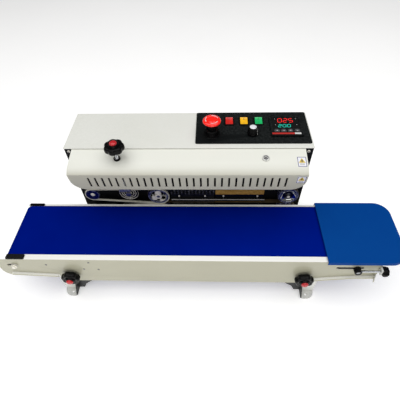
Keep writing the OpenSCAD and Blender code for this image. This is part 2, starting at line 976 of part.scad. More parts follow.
// Side plate outline in XZ, deep in the middle, shallow along the lips and deeper at both tips
module plate_outline(slot_l) {
    difference() {
        polygon(concat([[plate_x0, flange_z - 1], [plate_x0, end_z], [left_edge[1][0], end_z],
            left_edge[1], left_edge[0], [deep_x0, plate_z0], [deep_x1, plate_z0]], right_edge,
            [[right_edge[3][0], end_z], [plate_x1, end_z], [plate_x1, flange_z - 1]]));
        difference() {
            translate([plate_x0 - 1, end_z - 1])
                square([end_r + 1, end_r + 1]);
            translate([plate_x0 + end_r, end_z + end_r])
                circle(end_r);
        }
        slot(roller_x0 - slot_l, roller_x0, roller_z);
        slot(roller_x1 - 41, roller_x1 + 12, roller_z);
        for (x = clamp_xs)
            translate([x, clamp_z])
                circle(4.05);
    }
}

// Slot for a roller's axle
module slot(x0, x1, z) {
    for (x = [x0, x1])
        translate([x, z])
            circle(axle_r + 0.08);
    translate([x0, z - axle_r - 0.08])
        square([x1 - x0, 2 * axle_r + 0.16]);
}

// Strip along an edge in XZ, from low below it to high above it
module strip_outline(edge, low, high) {
    last = len(edge) - 1;
    polygon([for (p = edge) p + [0, low], for (i = [last : -1 : 0]) edge[i] + [0, high]]);
}

// Lip turned out along a plate's end stretch, and its rim turned down
module end_lip(edge) {
    upright(front_y - lip_w, front_y + plate_t / 2)
        strip_outline(edge, -0.5, 1);
    upright(front_y - lip_w, front_y - lip_w + 1.5)
        strip_outline(edge, -lip_h, 1);
}

// Leaf that stands out slantwise from the front plate's right tip
module tip_leaf() {
    translate([0, 0, end_z + 14])
        linear_extrude(8)
            polygon([[plate_x1 - 1, front_y + 1], [plate_x1 - 10, front_y - 17],
                [plate_x1 - 12, front_y - 17], [plate_x1 - 3.5, front_y + 1]]);
}

module conveyor_frame() {
    color("lightgray") {
        upright(front_y, front_y + plate_t)
            plate_outline(14);
        intersection() {
            upright(back_y - plate_t, back_y)
                plate_outline(4);
            box([rear_plate_x0, back_y - 10, 0], [plate_x1 + 1, back_y + 1, flange_z]);
        }
        box([flange_x0, front_y, flange_z - 2], [plate_x1, front_y + front_flange_w, flange_z]);
        box([flange_x0, back_y - rear_flange_w, flange_z - 2], [plate_x1, back_y, flange_z]);
        end_lip([left_edge[1], left_edge[0]]);
        end_lip(right_edge);
        tip_leaf();
        box([roller_x0 + 28, front_y + 1, belt_z - 7], [roller_x1 - 28, back_y - 1, belt_z - 2.5]);
        for (x = [-200, -20, 160])
            rod_y(x, 90, 6, front_y + 1, back_y - 1);
    }
}

module conveyor_belt() {
    color("midnightblue")
        belt_loop(roller_x0, roller_z, belt_r - belt_t, roller_x1, roller_z, belt_r - belt_t, belt_t,
            belt_y0, belt_y1);
}

// Roller with its axle through both side plates, out to axle_y0 at the front
module roller(x, axle_y0) {
    rod_y(x, roller_z, roller_r, belt_y0 + 2, belt_y1 - 2);
    rod_y(x, roller_z, axle_r, axle_y0, back_y + 0.4);
}

module conveyor_drive_roller() {
    color("silver") {
        roller(roller_x0, front_y - 4);
        rod_y(roller_x0, roller_z, 6.5, front_y - 3, front_y - 0.4);
    }
}

module conveyor_idler_roller() {
    color("silver")
        roller(roller_x1, boss_y0 + 1);
}

module end_caps() {
    color("black") {
        round_box([roller_x0 - 12, front_y, flange_z], [roller_x0 + 30, front_y + 13, flange_z + 2.5], 3);
        round_box([roller_x0 - 9, back_y - 6.5, flange_z], [roller_x0 + 29, back_y, flange_z + 2.5], 3);
    }
}

// Tray outline with its two right-hand corners rounded
module tray_outline(inset) {
    r = tray_corner - inset;
    x1 = tray_x1 - inset;
    y0 = tray_y0 + inset;
    y1 = tray_y1 - inset;
    translate([tray_x0, y0])
        square([x1 - tray_x0 - r, y1 - y0]);
    translate([tray_x0 + 1, y0 + r])
        square([x1 - tray_x0 - 1, y1 - y0 - 2 * r]);
    for (y = [y0 + r, y1 - r])
        translate([x1 - r, y])
            circle(r);
}

module infeed_tray() {
    color("steelblue")
        difference() {
            translate([0, 0, tray_z - 10])
                linear_extrude(10)
                    tray_outline(0);
            translate([-1, 0, tray_z - 11])
                linear_extrude(9)
                    tray_outline(1.5);
            box([tray_x0 - 2, tray_y0 + 1.5, tray_z - 11], [tray_x0 + 3, tray_y1 - 1.5, tray_z - 2]);
        }
}

// Rivets, the tray's spacers and the plate behind the driving roller's slot
module conveyor_screws() {
    color("silver") {
        for (p = [[-246, 137], [-264, 108], [-230, 107], [-348, 126]])
            rod_y(p[0], p[1], 2.2, front_y - 1, front_y);
        for (x = [tray_x0 + 20, tray_x0 + 110])
            for (y = [front_y + 7, back_y - 3])
                translate([x, y, flange_z])
                    cylinder(r = 2.6, h = tray_z - 2 - flange_z);
        difference() {
            slide_plate(roller_x0 - 20, roller_x0 + 10);
            rod_y(roller_x0, roller_z, axle_r + 0.1, front_y, front_y + 6);
        }
    }
}

// Hand knob on a stud through the front plate and the bracket's slot
module clamp_knob(x) {
    translate([x, front_y - 4, clamp_z])
        rotate([90, 0, 0]) {
            lobed_knob(knob_d, 14, 3);
            translate([0, 0, 16])
                knob_cap(8, 5.5);
        }
    rod_y(x, clamp_z, 9, front_y - 4.5, front_y - 0.4);
    rod_y(x, clamp_z, 4, front_y - 5, leg_y + leg_t + 5);
    rod_y(x, clamp_z, 7.5, leg_y + leg_t + 0.6, leg_y + leg_t + 5);
}

module clamp_knob_left() {
    color("black")
        clamp_knob(clamp_xs[0]);
}

module clamp_knob_right() {
    color("black")
        clamp_knob(clamp_xs[1]);
}

// Tab for the tension screw's thread, and the black boss that carries the idler's axle along the slot
module tension_bracket() {
    color("gray")
        difference() {
            union() {
                box([plate_x1 - 3, front_y - 12.5, tension_z - 9], [plate_x1, front_y, tension_z + 9]);
                rod_y(roller_x1, roller_z, 8, boss_y0, front_y);
                slide_plate(roller_x1 - 48, roller_x1 + 20);
            }
            rod_y(roller_x1, roller_z, axle_r + 0.1, boss_y0 - 1, front_y + 6);
            rod_x(tension_y, tension_z, 3.06, roller_x1 + 4.4, plate_x1 + 1);
        }
}

// Black plate behind an axle's slot in the front plate
module slide_plate(x0, x1) {
    box([x0, front_y + plate_t, roller_z - 8], [x1, front_y + plate_t + 2, roller_z + 8]);
}

module tension_knob() {
    color("black") {
        rod_x(tension_y, tension_z, 3, roller_x1 + 4.6, plate_x1 + 4);
        translate([plate_x1 + 1, tension_y, tension_z])
            rotate([0, 90, 0])
                lobed_knob(24.5, 11.5, 1.5);
    }
}

// ---------- nodes ----------

base_pan();
rubber_feet();
support_arms();
leg_brackets();
wall_board();
top_cover();
rear_cover();
control_panel();
cover_screws();
front_guard();
guard_bushes();
guard_labels();
heater_block_upper();
heater_block_lower();
cooling_blocks();
band_rails();
sealing_band_upper();
sealing_band_lower();
guide_belt_upper();
guide_belt_lower();
gear_motor();
drive_chain();
temperature_controller();
estop_base();
switch_housings();
power_inlet();
bearing_housings();
drive_wheel_upper();
drive_gear_upper();
drive_wheel_lower();
drive_gear_lower();
idler_wheel_upper();
idler_wheel_lower();
guide_pulley_upper();
guide_pulley_lower();
emboss_carriage();
emboss_wheel();
rubber_wheel();
motor_sprocket();
pressure_knob();
estop_button();
rocker_power();
rocker_heat();
rocker_fan();
speed_knob();
key_set();
key_shift();
key_down();
key_up();
conveyor_frame();
conveyor_belt();
end_caps();
infeed_tray();
conveyor_screws();
conveyor_drive_roller();
conveyor_idler_roller();
clamp_knob_left();
clamp_knob_right();
tension_bracket();
tension_knob();
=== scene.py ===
"""Looks of the continuous band sealer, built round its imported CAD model."""

import math
import random

import bmesh
import bpy
from mathutils import Matrix, Vector


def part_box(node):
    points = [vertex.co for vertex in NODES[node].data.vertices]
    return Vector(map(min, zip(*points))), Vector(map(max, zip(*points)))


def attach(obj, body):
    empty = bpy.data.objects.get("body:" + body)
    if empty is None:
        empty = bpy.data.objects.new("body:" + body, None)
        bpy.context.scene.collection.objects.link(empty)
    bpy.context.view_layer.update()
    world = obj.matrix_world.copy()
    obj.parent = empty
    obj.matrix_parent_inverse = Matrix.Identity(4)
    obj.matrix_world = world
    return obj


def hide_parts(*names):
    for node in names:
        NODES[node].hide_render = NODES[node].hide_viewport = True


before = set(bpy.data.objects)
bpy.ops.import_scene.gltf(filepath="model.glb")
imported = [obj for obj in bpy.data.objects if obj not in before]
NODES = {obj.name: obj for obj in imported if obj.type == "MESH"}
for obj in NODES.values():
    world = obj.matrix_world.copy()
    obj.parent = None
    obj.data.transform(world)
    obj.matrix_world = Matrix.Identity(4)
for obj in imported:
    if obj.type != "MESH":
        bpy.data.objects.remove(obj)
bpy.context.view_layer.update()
MM = 0.001
random.seed(11)


def new_object(name, data):
    thing = bpy.data.objects.new(name, data)
    bpy.context.scene.collection.objects.link(thing)
    return thing


# ----- camera, at the photograph's angle -----

YAW, PITCH, ROLL = (math.radians(a) for a in (3.361, 49.368, -2.409))
EYE = Vector((0.0371, -0.5512, 0.8203))


def make_camera():
    data = bpy.data.cameras.new("camera")
    data.lens = 31.2
    data.sensor_width = 36
    data.clip_start = 0.02
    data.clip_end = 30
    camera = new_object("camera", data)
    tilt = Matrix.Rotation(math.pi / 2 - PITCH, 4, "X")
    turn = Matrix.Rotation(YAW, 4, "Z") @ tilt @ Matrix.Rotation(ROLL, 4, "Z")
    camera.matrix_world = Matrix.Translation(EYE) @ turn
    bpy.context.scene.camera = camera


make_camera()

# ----- materials -----


def linear(colour):
    """Colour given as 0 to 255, as the shader's linear values."""
    out = []
    for c in colour:
        c /= 255
        out.append(c / 12.92 if c <= 0.04045 else ((c + 0.055) / 1.055) ** 2.4)
    return (*out, 1.0)


class Shader:
    """A Principled material whose colour, roughness and bump come from noise in object coordinates."""

    def __init__(self, name, colour, other, rough, spread=0.05, patch=9.0, low=0.38, high=0.62):
        self.material = bpy.data.materials.new(name)
        self.material.use_nodes = True
        self.tree = self.material.node_tree
        self.bsdf = self.tree.nodes["Principled BSDF"]
        self.coords = self.node("ShaderNodeTexCoord").outputs["Object"]
        self.colour = self.mix(self.range(self.noise(patch, 5), low, high), linear(colour), linear(other))
        self.rough = self.range(self.noise(patch * 4, 6), 0.3, 0.7, rough - spread, rough + spread)
        self.height = None

    def node(self, kind, **inputs):
        """New node, with some of its inputs set."""
        made = self.tree.nodes.new(kind)
        for name, value in inputs.items():
            made.inputs[name].default_value = value
        return made

    def link(self, source, socket):
        """Feeds a socket from another node's output, or sets a constant on it."""
        if isinstance(source, bpy.types.NodeSocket):
            self.tree.links.new(source, socket)
        else:
            socket.default_value = source

    def stretched(self, scale):
        node = self.node("ShaderNodeMapping", Scale=scale)
        self.link(self.coords, node.inputs["Vector"])
        return node.outputs["Vector"]

    def noise(self, scale, detail=3, stretch=None, roughness=0.55):
        node = self.node("ShaderNodeTexNoise", Scale=scale, Detail=detail, Roughness=roughness)
        self.link(self.stretched(stretch) if stretch else self.coords, node.inputs["Vector"])
        return node.outputs["Fac"]

    def range(self, value, low, high, to_low=0.0, to_high=1.0):
        node = self.node("ShaderNodeMapRange")
        names = ("Value", "From Min", "From Max", "To Min", "To Max")
        for name, source in zip(names, (value, low, high, to_low, to_high)):
            self.link(source, node.inputs[name])
        return node.outputs["Result"]

    def maths(self, operation, a, b):
        node = self.node("ShaderNodeMath")
        node.operation = operation
        for source, socket in zip((a, b), node.inputs):
            self.link(source, socket)
        return node.outputs["Value"]

    def mix(self, factor, a, b):
        """Blend of two colours, each an output or a constant."""
        node = self.node("ShaderNodeMix")
        node.data_type = "RGBA"
        for source, number in ((factor, 0), (a, 6), (b, 7)):
            self.link(source, node.inputs[number])
        return node.outputs[2]

    def bump(self, height, strength, distance=0.0002):
        node = self.node("ShaderNodeBump", Strength=strength, Distance=distance)
        self.link(height, node.inputs["Height"])
        if self.height is not None:
            self.link(self.height, node.inputs["Normal"])
        self.height = node.outputs["Normal"]
        return self

    def grain(self, scale=900, strength=0.12, distance=0.0002):
        """Fine orange peel, or the texture of moulded plastic."""
        return self.bump(self.noise(scale, 2), strength, distance)

    def brushed(self, stretch, strength=0.25, scale=1500):
        """Fine lines along one direction, in the roughness and the bump."""
        lines = self.noise(scale, 2, stretch)
        self.rough = self.maths("ADD", self.rough, self.range(lines, 0.3, 0.7, -0.05, 0.07))
        return self.bump(lines, strength, 0.05 * MM)

    def wear(self, colour, start=0.515, full=0.56, amount=0.6):
        """Edges rubbed to another colour, broken up by noise."""
        edge = self.range(self.node("ShaderNodeNewGeometry").outputs["Pointiness"], start, full)
        edge = self.maths("MULTIPLY", edge, self.range(self.noise(220, 5), 0.4, 0.62, 0, amount))
        self.colour = self.mix(edge, self.colour, linear(colour))
        return self

    def painted_top_light(self, colour, amount=0.9):
        """Painted light: lighter on the faces that look up, as they catch the light from above."""
        split = self.node("ShaderNodeSeparateXYZ")
        self.link(self.node("ShaderNodeNewGeometry").outputs["Normal"], split.inputs[0])
        upward = self.range(split.outputs["Z"], 0.8, 0.97, 0, amount)
        self.colour = self.mix(upward, self.colour, linear(colour))
        return self

    def dirt_and_painted_shade(self, colour, reach=0.006, amount=0.5):
        """Darker where surfaces meet, by ambient occlusion: dirt and painted shade."""
        shut = self.node("ShaderNodeAmbientOcclusion", Distance=reach)
        shut.samples = 4
        held = self.range(shut.outputs["AO"], 0.25, 0.85, amount, 0.0)
        self.colour = self.mix(held, self.colour, linear(colour))
        return self

    def marks(self, colour, scale, amount):
        """Sparse small scuffs."""
        spots = self.range(self.noise(scale, 8, roughness=0.7), 0.62, 0.74, 0, amount)
        self.colour = self.mix(spots, self.colour, linear(colour))
        self.rough = self.maths("ADD", self.rough, self.maths("MULTIPLY", spots, 0.3))
        return self

    def done(self, metallic=0.0, coat=0.0, coat_rough=0.06, specular=0.5, glow=None, power=0.0):
        fed = {"Base Color": self.colour, "Roughness": self.rough, "Metallic": metallic, "Coat Weight": coat,
            "Coat Roughness": coat_rough, "Specular IOR Level": specular}
        if self.height is not None:
            fed["Normal"] = self.height
        if glow:
            fed["Emission Color"] = linear(glow)
            fed["Emission Strength"] = power
        for name, source in fed.items():
            self.link(source, self.bsdf.inputs[name])
        return self.material


def weave(shader, pitch, strength):
    """Crossed threads of a woven belt, as two sets of waves. The pitch is in millimetres."""
    heights = []
    one_band = 0.314  # metres between the bands of a wave texture of scale 1
    for direction in ("X", "Y"):
        wave = shader.node("ShaderNodeTexWave", Scale=one_band / (pitch * MM), Distortion=0.4)
        wave.bands_direction = direction
        wave.inputs["Detail Scale"].default_value = 3
        shader.link(shader.coords, wave.inputs["Vector"])
        heights.append(wave.outputs["Fac"])
    return shader.bump(shader.maths("MULTIPLY", *heights), strength, 0.12 * MM)


def ink(name, colour, other):
    """Plain printed colour."""
    return Shader(name, colour, other, 0.4, 0.05, 90).grain(900, 0.05).done()


def lens(name, colour, other, glow, power):
    """Lit and lacquered plastic of a rocker."""
    shader = Shader(name, colour, other, 0.22, 0.05, 60).grain(1400, 0.06)
    return shader.done(coat=0.5, glow=glow, power=power)


def segment(name, colour, other, glow=None, power=0.0):
    """Segment of the controller's figures."""
    return Shader(name, colour, other, 0.3, 0.03, 90).grain(900, 0.04).done(glow=glow, power=power)


CREAM = (
    Shader("cream_paint", (231, 232, 226), (227, 228, 220), 0.38, 0.05, 5)
    .grain(700, 0.08).marks((190, 188, 176), 45, 0.08).wear((244, 244, 238), amount=0.5)
    .dirt_and_painted_shade((150, 146, 128), 0.005, 0.35).done(coat=0.15, coat_rough=0.16)
)
# Cream paint of the front guard, made darker as painted shade on its faces that do not look up; the faces
# that look up get the lit cream back as painted light.
GUARD_PAINT_SHADED = (
    Shader("guard_paint_shaded", (194, 193, 179), (189, 187, 173), 0.36, 0.05, 5)
    .grain(700, 0.06).marks((190, 188, 176), 45, 0.05).painted_top_light((231, 232, 223), 1.0)
    .dirt_and_painted_shade((150, 146, 128), 0.005, 0.3).done(coat=0.15, coat_rough=0.16)
)
# Cream paint of the conveyor frame, made darker as painted shade on its sides and front, with painted light
# making the faces that look up near white.
CONVEYOR_PAINT_SHADED = (
    Shader("conveyor_paint", (190, 188, 166), (184, 182, 160), 0.3, 0.02, 3)
    .painted_top_light((252, 252, 249)).dirt_and_painted_shade((130, 124, 106), 0.006, 0.35)
    .done(coat=0.12, coat_rough=0.12)
)
BRACKET_PAINT = (
    Shader("bracket_paint", (236, 237, 233), (228, 229, 224), 0.33, 0.06, 14)
    .grain(700, 0.1).wear((150, 150, 148), amount=0.7).dirt_and_painted_shade((120, 116, 104), 0.004, 0.4)
    .done(coat=0.3, coat_rough=0.15)
)
BLACK_PAINT = (
    Shader("black_paint", (15, 16, 17), (22, 23, 24), 0.42, 0.08, 12)
    .grain(1100, 0.25).marks((70, 70, 70), 70, 0.2).wear((96, 96, 96), amount=0.5)
    .done(specular=0.4)
)
PANEL = (
    Shader("panel_black", (6, 10, 11), (9, 13, 14), 0.5, 0.05, 10)
    .grain(1500, 0.05).marks((32, 36, 36), 80, 0.06).wear((60, 64, 64), amount=0.3)
    .done(specular=0.1)
)
WALL = (
    Shader("wall_black", (4, 4, 5), (7, 7, 8), 0.4, 0.06, 10)
    .grain(900, 0.06).marks((30, 30, 30), 60, 0.15).done(specular=0.15)
)
BELT = weave(
    Shader("belt_blue", (0, 20, 122), (0, 24, 130), 0.42, 0.05, 3.5), 0.9, 0.05
).done(specular=0.0)
TRAY = (
    Shader("tray_blue", (1, 60, 138), (1, 70, 148), 0.42, 0.02, 3, 0.3, 0.7)
    .grain(2200, 0.01).marks((60, 120, 180), 90, 0.06).done(specular=0.03)
)
PLASTIC = (
    Shader("black_plastic", (5, 5, 6), (8, 8, 9), 0.26, 0.05, 30)
    .grain(2600, 0.08, 0.0001).marks((30, 30, 30), 160, 0.10).wear((40, 40, 40), amount=0.25)
    .done(specular=0.12)
)
GLOSS_BLACK = (
    Shader("gloss_black", (11, 13, 14), (15, 17, 18), 0.2, 0.05, 25)
    .grain(1200, 0.05).marks((60, 60, 60), 120, 0.10).done(specular=0.35)
)
RUBBER = (
    Shader("black_rubber", (20, 20, 20), (29, 29, 28), 0.72, 0.08, 25)
    .grain(1800, 0.4).marks((80, 78, 72), 90, 0.2).done(specular=0.25)
)
ZINC = (
    Shader("zinc_steel", (176, 178, 180), (150, 152, 156), 0.34, 0.10, 60)
    .brushed((1, 1, 14), 0.2).dirt_and_painted_shade((60, 58, 54), 0.002, 0.5).done(metallic=1.0)
)
DARK_STEEL = (
    Shader("dark_steel", (70, 72, 78), (48, 50, 56), 0.18, 0.06, 60)
    .brushed((1, 1, 10), 0.15).done(metallic=1.0)
)
# Polished steel painted bright: near white and hardly metallic, a painted highlight standing in for its
# reflections, with near-black painted shade where surfaces meet.
POLISHED_PAINTED_BRIGHT = (
    Shader("polished_steel_painted_bright", (255, 251, 238), (246, 242, 230), 0.2, 0.05, 60)
    .grain(500, 0.03).dirt_and_painted_shade((26, 26, 28), 0.003, 0.8).done(metallic=0.1, coat=0.5, coat_rough=0.08)
)
CHROME = (
    Shader("chrome_steel", (218, 220, 222), (196, 199, 203), 0.13, 0.05, 60)
    .grain(500, 0.05).dirt_and_painted_shade((70, 68, 66), 0.002, 0.4).done(metallic=1.0)
)
FOIL = (
    Shader("label_film", (240, 240, 246), (231, 232, 240), 0.3, 0.05, 40)
    .grain(600, 0.06).marks((180, 180, 180), 120, 0.2).done(coat=0.4)
)
YELLOW_PRINT = (
    Shader("yellow_print", (214, 186, 28), (204, 174, 22), 0.35, 0.05, 90)
    .grain(900, 0.05).done(coat=0.4)
)
GREY_PRINT = ink("grey_print", (104, 106, 108), (92, 94, 96))
DARK_PRINT = ink("dark_print", (62, 60, 70), (78, 76, 88))
BLUE_PRINT = ink("blue_print", (44, 46, 112), (54, 56, 126))
WHITE_PRINT = (
    Shader("white_print", (226, 226, 224), (204, 204, 202), 0.42, 0.05, 120).grain(1200, 0.08).done()
)
BRASS = (
    Shader("brass_block", (196, 148, 62), (178, 132, 50), 0.4, 0.08, 18)
    .brushed((10, 1, 1), 0.3).marks((70, 48, 20), 40, 0.2).wear((214, 176, 96), amount=0.6)
    .done(metallic=0.25)
)
BLACK_METAL = (
    Shader("black_aluminium", (34, 35, 36), (48, 49, 50), 0.36, 0.1, 30)
    .brushed((1, 10, 1), 0.3).wear((150, 150, 150), amount=0.7).done(metallic=0.6)
)
BAND = weave(
    Shader("band_ptfe", (74, 62, 44), (56, 47, 33), 0.4, 0.08, 30), 0.8, 0.5
).marks((44, 36, 24), 60, 0.5).done()
GUIDE = (
    Shader("guide_rubber", (226, 223, 208), (204, 200, 184), 0.55, 0.08, 30)
    .grain(1200, 0.3).marks((96, 92, 80), 70, 0.4).done(specular=0.4)
)
MOTOR = (
    Shader("motor_paint", (96, 100, 104), (84, 88, 92), 0.42, 0.08, 16)
    .grain(700, 0.3).wear((180, 180, 180), amount=0.5).dirt_and_painted_shade((36, 34, 32), 0.006, 0.6).done()
)
NAVY = (
    Shader("wheel_blue", (9, 14, 62), (13, 20, 78), 0.26, 0.06, 40)
    .grain(900, 0.1).marks((130, 136, 180), 90, 0.35).wear((170, 176, 200), amount=0.6)
    .done(metallic=0.35, coat=0.4, coat_rough=0.1)
)
# Red plastic of the emergency stop, with a faint glow: painted light, since the button has no lamp.
GLOWING_RED = (
    Shader("red_plastic", (244, 26, 12), (236, 20, 10), 0.24, 0.05, 30)
    .grain(1400, 0.08).marks((255, 110, 90), 120, 0.2)
    .done(coat=0.4, coat_rough=0.08, glow=(255, 34, 10), power=0.2)
)
CAP_RED = (
    Shader("cap_red", (206, 22, 34), (190, 18, 30), 0.3, 0.06, 40)
    .grain(1600, 0.15).marks((240, 130, 130), 150, 0.25).done(coat=0.3)
)
ROCKER_RED = lens("rocker_red", (206, 26, 18), (180, 18, 14), (255, 60, 40), 0.10)
ROCKER_YELLOW = lens("yellow_lens", (246, 186, 16), (232, 170, 10), (255, 200, 40), 0.12)
ROCKER_GREEN = lens("green_lens", (10, 176, 96), (8, 158, 84), (40, 230, 130), 0.12)
KEY_GREY = Shader("key_grey", (92, 96, 100), (78, 82, 86), 0.45, 0.06, 60).grain(1500, 0.25).done()
FACE = (
    Shader("controller_face", (12, 14, 15), (15, 17, 18), 0.24, 0.04, 20).grain(900, 0.04).done(specular=0.3)
)
RED_LIT = segment("segment_red", (210, 30, 26), (190, 22, 20), (255, 40, 34), 0.7)
GREEN_LIT = segment("segment_green", (20, 170, 150), (16, 150, 132), (40, 230, 200), 0.55)
UNLIT = segment("segment_dark", (34, 26, 28), (40, 32, 32))
STRIP_RED = (
    Shader("strip_red", (196, 44, 36), (184, 36, 30), 0.35, 0.05, 60).grain(1200, 0.06).done(coat=0.3)
)

LOOKS = {name: look for look, names in (
    (CREAM, "base_pan top_cover rear_cover"),
    (GUARD_PAINT_SHADED, "front_guard"),
    (CONVEYOR_PAINT_SHADED, "conveyor_frame"),
    (BRACKET_PAINT, "leg_brackets"),
    (BLACK_PAINT, "support_arms"),
    (PANEL, "control_panel temperature_controller"),
    (WALL, "wall_board"),
    (BELT, "conveyor_belt"),
    (TRAY, "infeed_tray"),
    (PLASTIC, "estop_base switch_housings power_inlet end_caps"),
    (PLASTIC, "pressure_knob speed_knob clamp_knob_left clamp_knob_right tension_knob"),
    (RUBBER, "rubber_feet rubber_wheel"),
    (ZINC, "cover_screws guard_bushes conveyor_screws tension_bracket bearing_housings emboss_carriage"),
    (ZINC, "drive_chain motor_sprocket drive_gear_upper drive_gear_lower"),
    (ZINC, "conveyor_drive_roller conveyor_idler_roller"),
    (POLISHED_PAINTED_BRIGHT, "emboss_wheel"),
    (FOIL, "guard_labels"),
    (BRASS, "heater_block_upper"),
    (BLACK_METAL, "heater_block_lower cooling_blocks band_rails"),
    (BAND, "sealing_band_upper sealing_band_lower"),
    (GUIDE, "guide_belt_upper guide_belt_lower"),
    (MOTOR, "gear_motor"),
    (NAVY, "drive_wheel_upper drive_wheel_lower idler_wheel_upper idler_wheel_lower"),
    (NAVY, "guide_pulley_upper guide_pulley_lower"),
    (GLOWING_RED, "estop_button"),
    (ROCKER_RED, "rocker_power"),
    (ROCKER_YELLOW, "rocker_heat"),
    (ROCKER_GREEN, "rocker_fan"),
    (KEY_GREY, "key_set key_shift key_down key_up"),
) for name in names.split()}

# Width of the rounding on the edges of the CAD nodes that show, in millimetres
ROUNDING = {name: width for width, names in (
    (0.2, "cooling_blocks"),
    (0.3, "heater_block_upper heater_block_lower band_rails switch_housings power_inlet conveyor_belt"),
    (0.3, "rocker_power rocker_heat rocker_fan key_set key_shift key_down key_up"),
    (0.4, "leg_brackets wall_board front_guard temperature_controller emboss_carriage"),
    (0.4, "conveyor_frame tension_bracket estop_base bearing_housings"),
    (0.5, "support_arms rear_cover control_panel end_caps rubber_feet"),
    (0.6, "top_cover infeed_tray"),
    (0.8, "base_pan"),
    (1.0, "gear_motor"),
) for name in names.split()}


def round_edges(thing, width, angle=32, segments=2):
    """Welds the mesh, rounds its sharp edges and keeps its flats looking flat."""
    weld = thing.modifiers.new("weld", "WELD")
    weld.merge_threshold = 0.002 * MM
    bevel = thing.modifiers.new("round", "BEVEL")
    bevel.width = width * MM
    bevel.segments = segments
    bevel.limit_method = "ANGLE"
    bevel.angle_limit = math.radians(angle)
    even = thing.modifiers.new("even", "WEIGHTED_NORMAL")
    even.weight = 100


def dress_cad():
    for name, thing in NODES.items():
        look = LOOKS[name]
        for place in thing.material_slots:
            place.material = look
        if name in ROUNDING:
            mesh = thing.data
            for kind in ("custom_normal", "sharp_edge"):
                if kind in mesh.attributes:
                    mesh.attributes.remove(mesh.attributes[kind])
            mesh.polygons.foreach_set("use_smooth", [True] * len(mesh.polygons))
            round_edges(thing, ROUNDING[name])


dress_cad()

# ----- shapes, in millimetres -----

# Turns that take a shape's own Z axis up, to the front, to the back and to the right
UP = Matrix.Identity(4)
FRONT = Matrix(((1, 0, 0, 0), (0, 0, -1, 0), (0, 1, 0, 0), (0, 0, 0, 1)))
BACK = Matrix(((0, 1, 0, 0), (0, 0, 1, 0), (1, 0, 0, 0), (0, 0, 0, 1)))
RIGHT = Matrix(((0, 0, 1, 0), (1, 0, 0, 0), (0, 1, 0, 0), (0, 0, 0, 1)))


def at(x, y, z, turn=UP, spin=0.0):
    """Place of a shape: its own Z axis along the turn's axis, spun by some degrees about it."""
    return Matrix.Translation((x, y, z)) @ turn @ Matrix.Rotation(math.radians(spin), 4, "Z")


def lean(angle, axis="X"):
    """Turn by some degrees about a level axis."""
    return Matrix.Rotation(math.radians(angle), 4, axis)


class Cad:
    """A CAD node's box at rest, in millimetres."""

    def __init__(self, name):
        low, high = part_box(name)
        self.x0, self.y0, self.z0 = (v / MM for v in low)
        self.x1, self.y1, self.z1 = (v / MM for v in high)
        self.x, self.y, self.z = (self.x0 + self.x1) / 2, (self.y0 + self.y1) / 2, (self.z0 + self.z1) / 2


def circle(r, n=48, x=0.0, y=0.0):
    turn = [2 * math.pi * i / n for i in range(n)]
    return [(x + r * math.cos(a), y + r * math.sin(a)) for a in turn]


def loft(rings):
    """Skin through rings of equal count, with its two ends capped."""
    n = len(rings[0])
    verts = [v for ring in rings for v in ring]
    faces = []
    for r in range(len(rings) - 1):
        for i in range(n):
            j = (i + 1) % n
            faces.append((r * n + i, r * n + j, (r + 1) * n + j, (r + 1) * n + i))
    faces.append(tuple(range(n - 1, -1, -1)))
    faces.append(tuple((len(rings) - 1) * n + i for i in range(n)))
    return verts, faces


def lathe(profile, n=64):
    """Turned shape from (radius, height) points. An end is capped flat, or closed at a point by radius 0."""
    verts, faces, rows = [], [], []
    for r, z in profile:
        if r < 1e-6:
            rows.append([len(verts)] * n)
            verts.append((0, 0, z))
        else:
            rows.append(list(range(len(verts), len(verts) + n)))
            verts += [(x, y, z) for x, y in circle(r, n)]
    for low, high in zip(rows, rows[1:]):
        for i in range(n):
            j = (i + 1) % n
            face = [low[i], low[j], high[j], high[i]]
            face = [v for k, v in enumerate(face) if v not in face[:k]]
            if len(face) > 2:
                faces.append(tuple(face))
    if profile[0][0] > 1e-6:
        faces.append(tuple(reversed(rows[0])))
    if profile[-1][0] > 1e-6:
        faces.append(tuple(rows[-1]))
    return verts, faces


def hoop(profile, n=64):
    """Turned ring: its closed profile goes once round, without end caps."""
    verts, faces = lathe(profile + profile[:1], n)
    return verts, faces[:-2]


def inset(outline, d):
    """Anticlockwise outline moved inwards by d, with sharp corners held back."""
    out = []
    n = len(outline)
    for i in range(n):
        a, b, c = (Vector(outline[k % n]) for k in (i - 1, i, i + 1))
        u, v = (b - a).normalized(), (c - b).normalized()
        m = Vector((-u.y, u.x)) + Vector((-v.y, v.x))
        out.append(tuple(b + m * (d / max(0.3, 1 + u.dot(v)))))
    return out


def prism(outline, z0, z1, edge=0.2):
    """Upright solid on an outline, with its upper and lower edges broken."""
    small = inset(outline, edge)
    rows = ((small, z0), (outline, z0 + edge), (outline, z1 - edge), (small, z1))
    return loft([[(x, y, z) for x, y in ring] for ring, z in rows])


def rect(x0, y0, x1, y1, r=0.0, n=6):
    """Rectangle with corners of radius r, each in n steps."""
    if r <= 0:
        return [(x0, y0), (x1, y0), (x1, y1), (x0, y1)]
    out = []
    corners = ((x1 - r, y0 + r, -90), (x1 - r, y1 - r, 0), (x0 + r, y1 - r, 90), (x0 + r, y0 + r, 180))
    for cx, cy, start in corners:
        for i in range(n + 1):
            a = math.radians(start + 90 * i / n)
            out.append((cx + r * math.cos(a), cy + r * math.sin(a)))
    return out


def hexagon(across):
    return circle(across / math.sqrt(3), 6)


def thread(r, length, pitch=1.25, n=24, per_turn=6):
    """Screwed rod of outer radius r from z 0 to length, with one running thread."""
    rings = []
    rows = max(2, round(length / pitch * per_turn))
    for i in range(rows + 1):
        z = length * i / rows
        ring = []
        for k in range(n):
            phase = (z / pitch - k / n) % 1
            depth = abs(2 * phase - 1) * pitch * 0.55
            fade = min(1, z / pitch, (length - z) / pitch)
            a = 2 * math.pi * k / n
            rad = r - depth * (0.35 + 0.65 * fade)
            ring.append((rad * math.cos(a), rad * math.sin(a), z))
        rings.append(ring)
    return loft(rings)


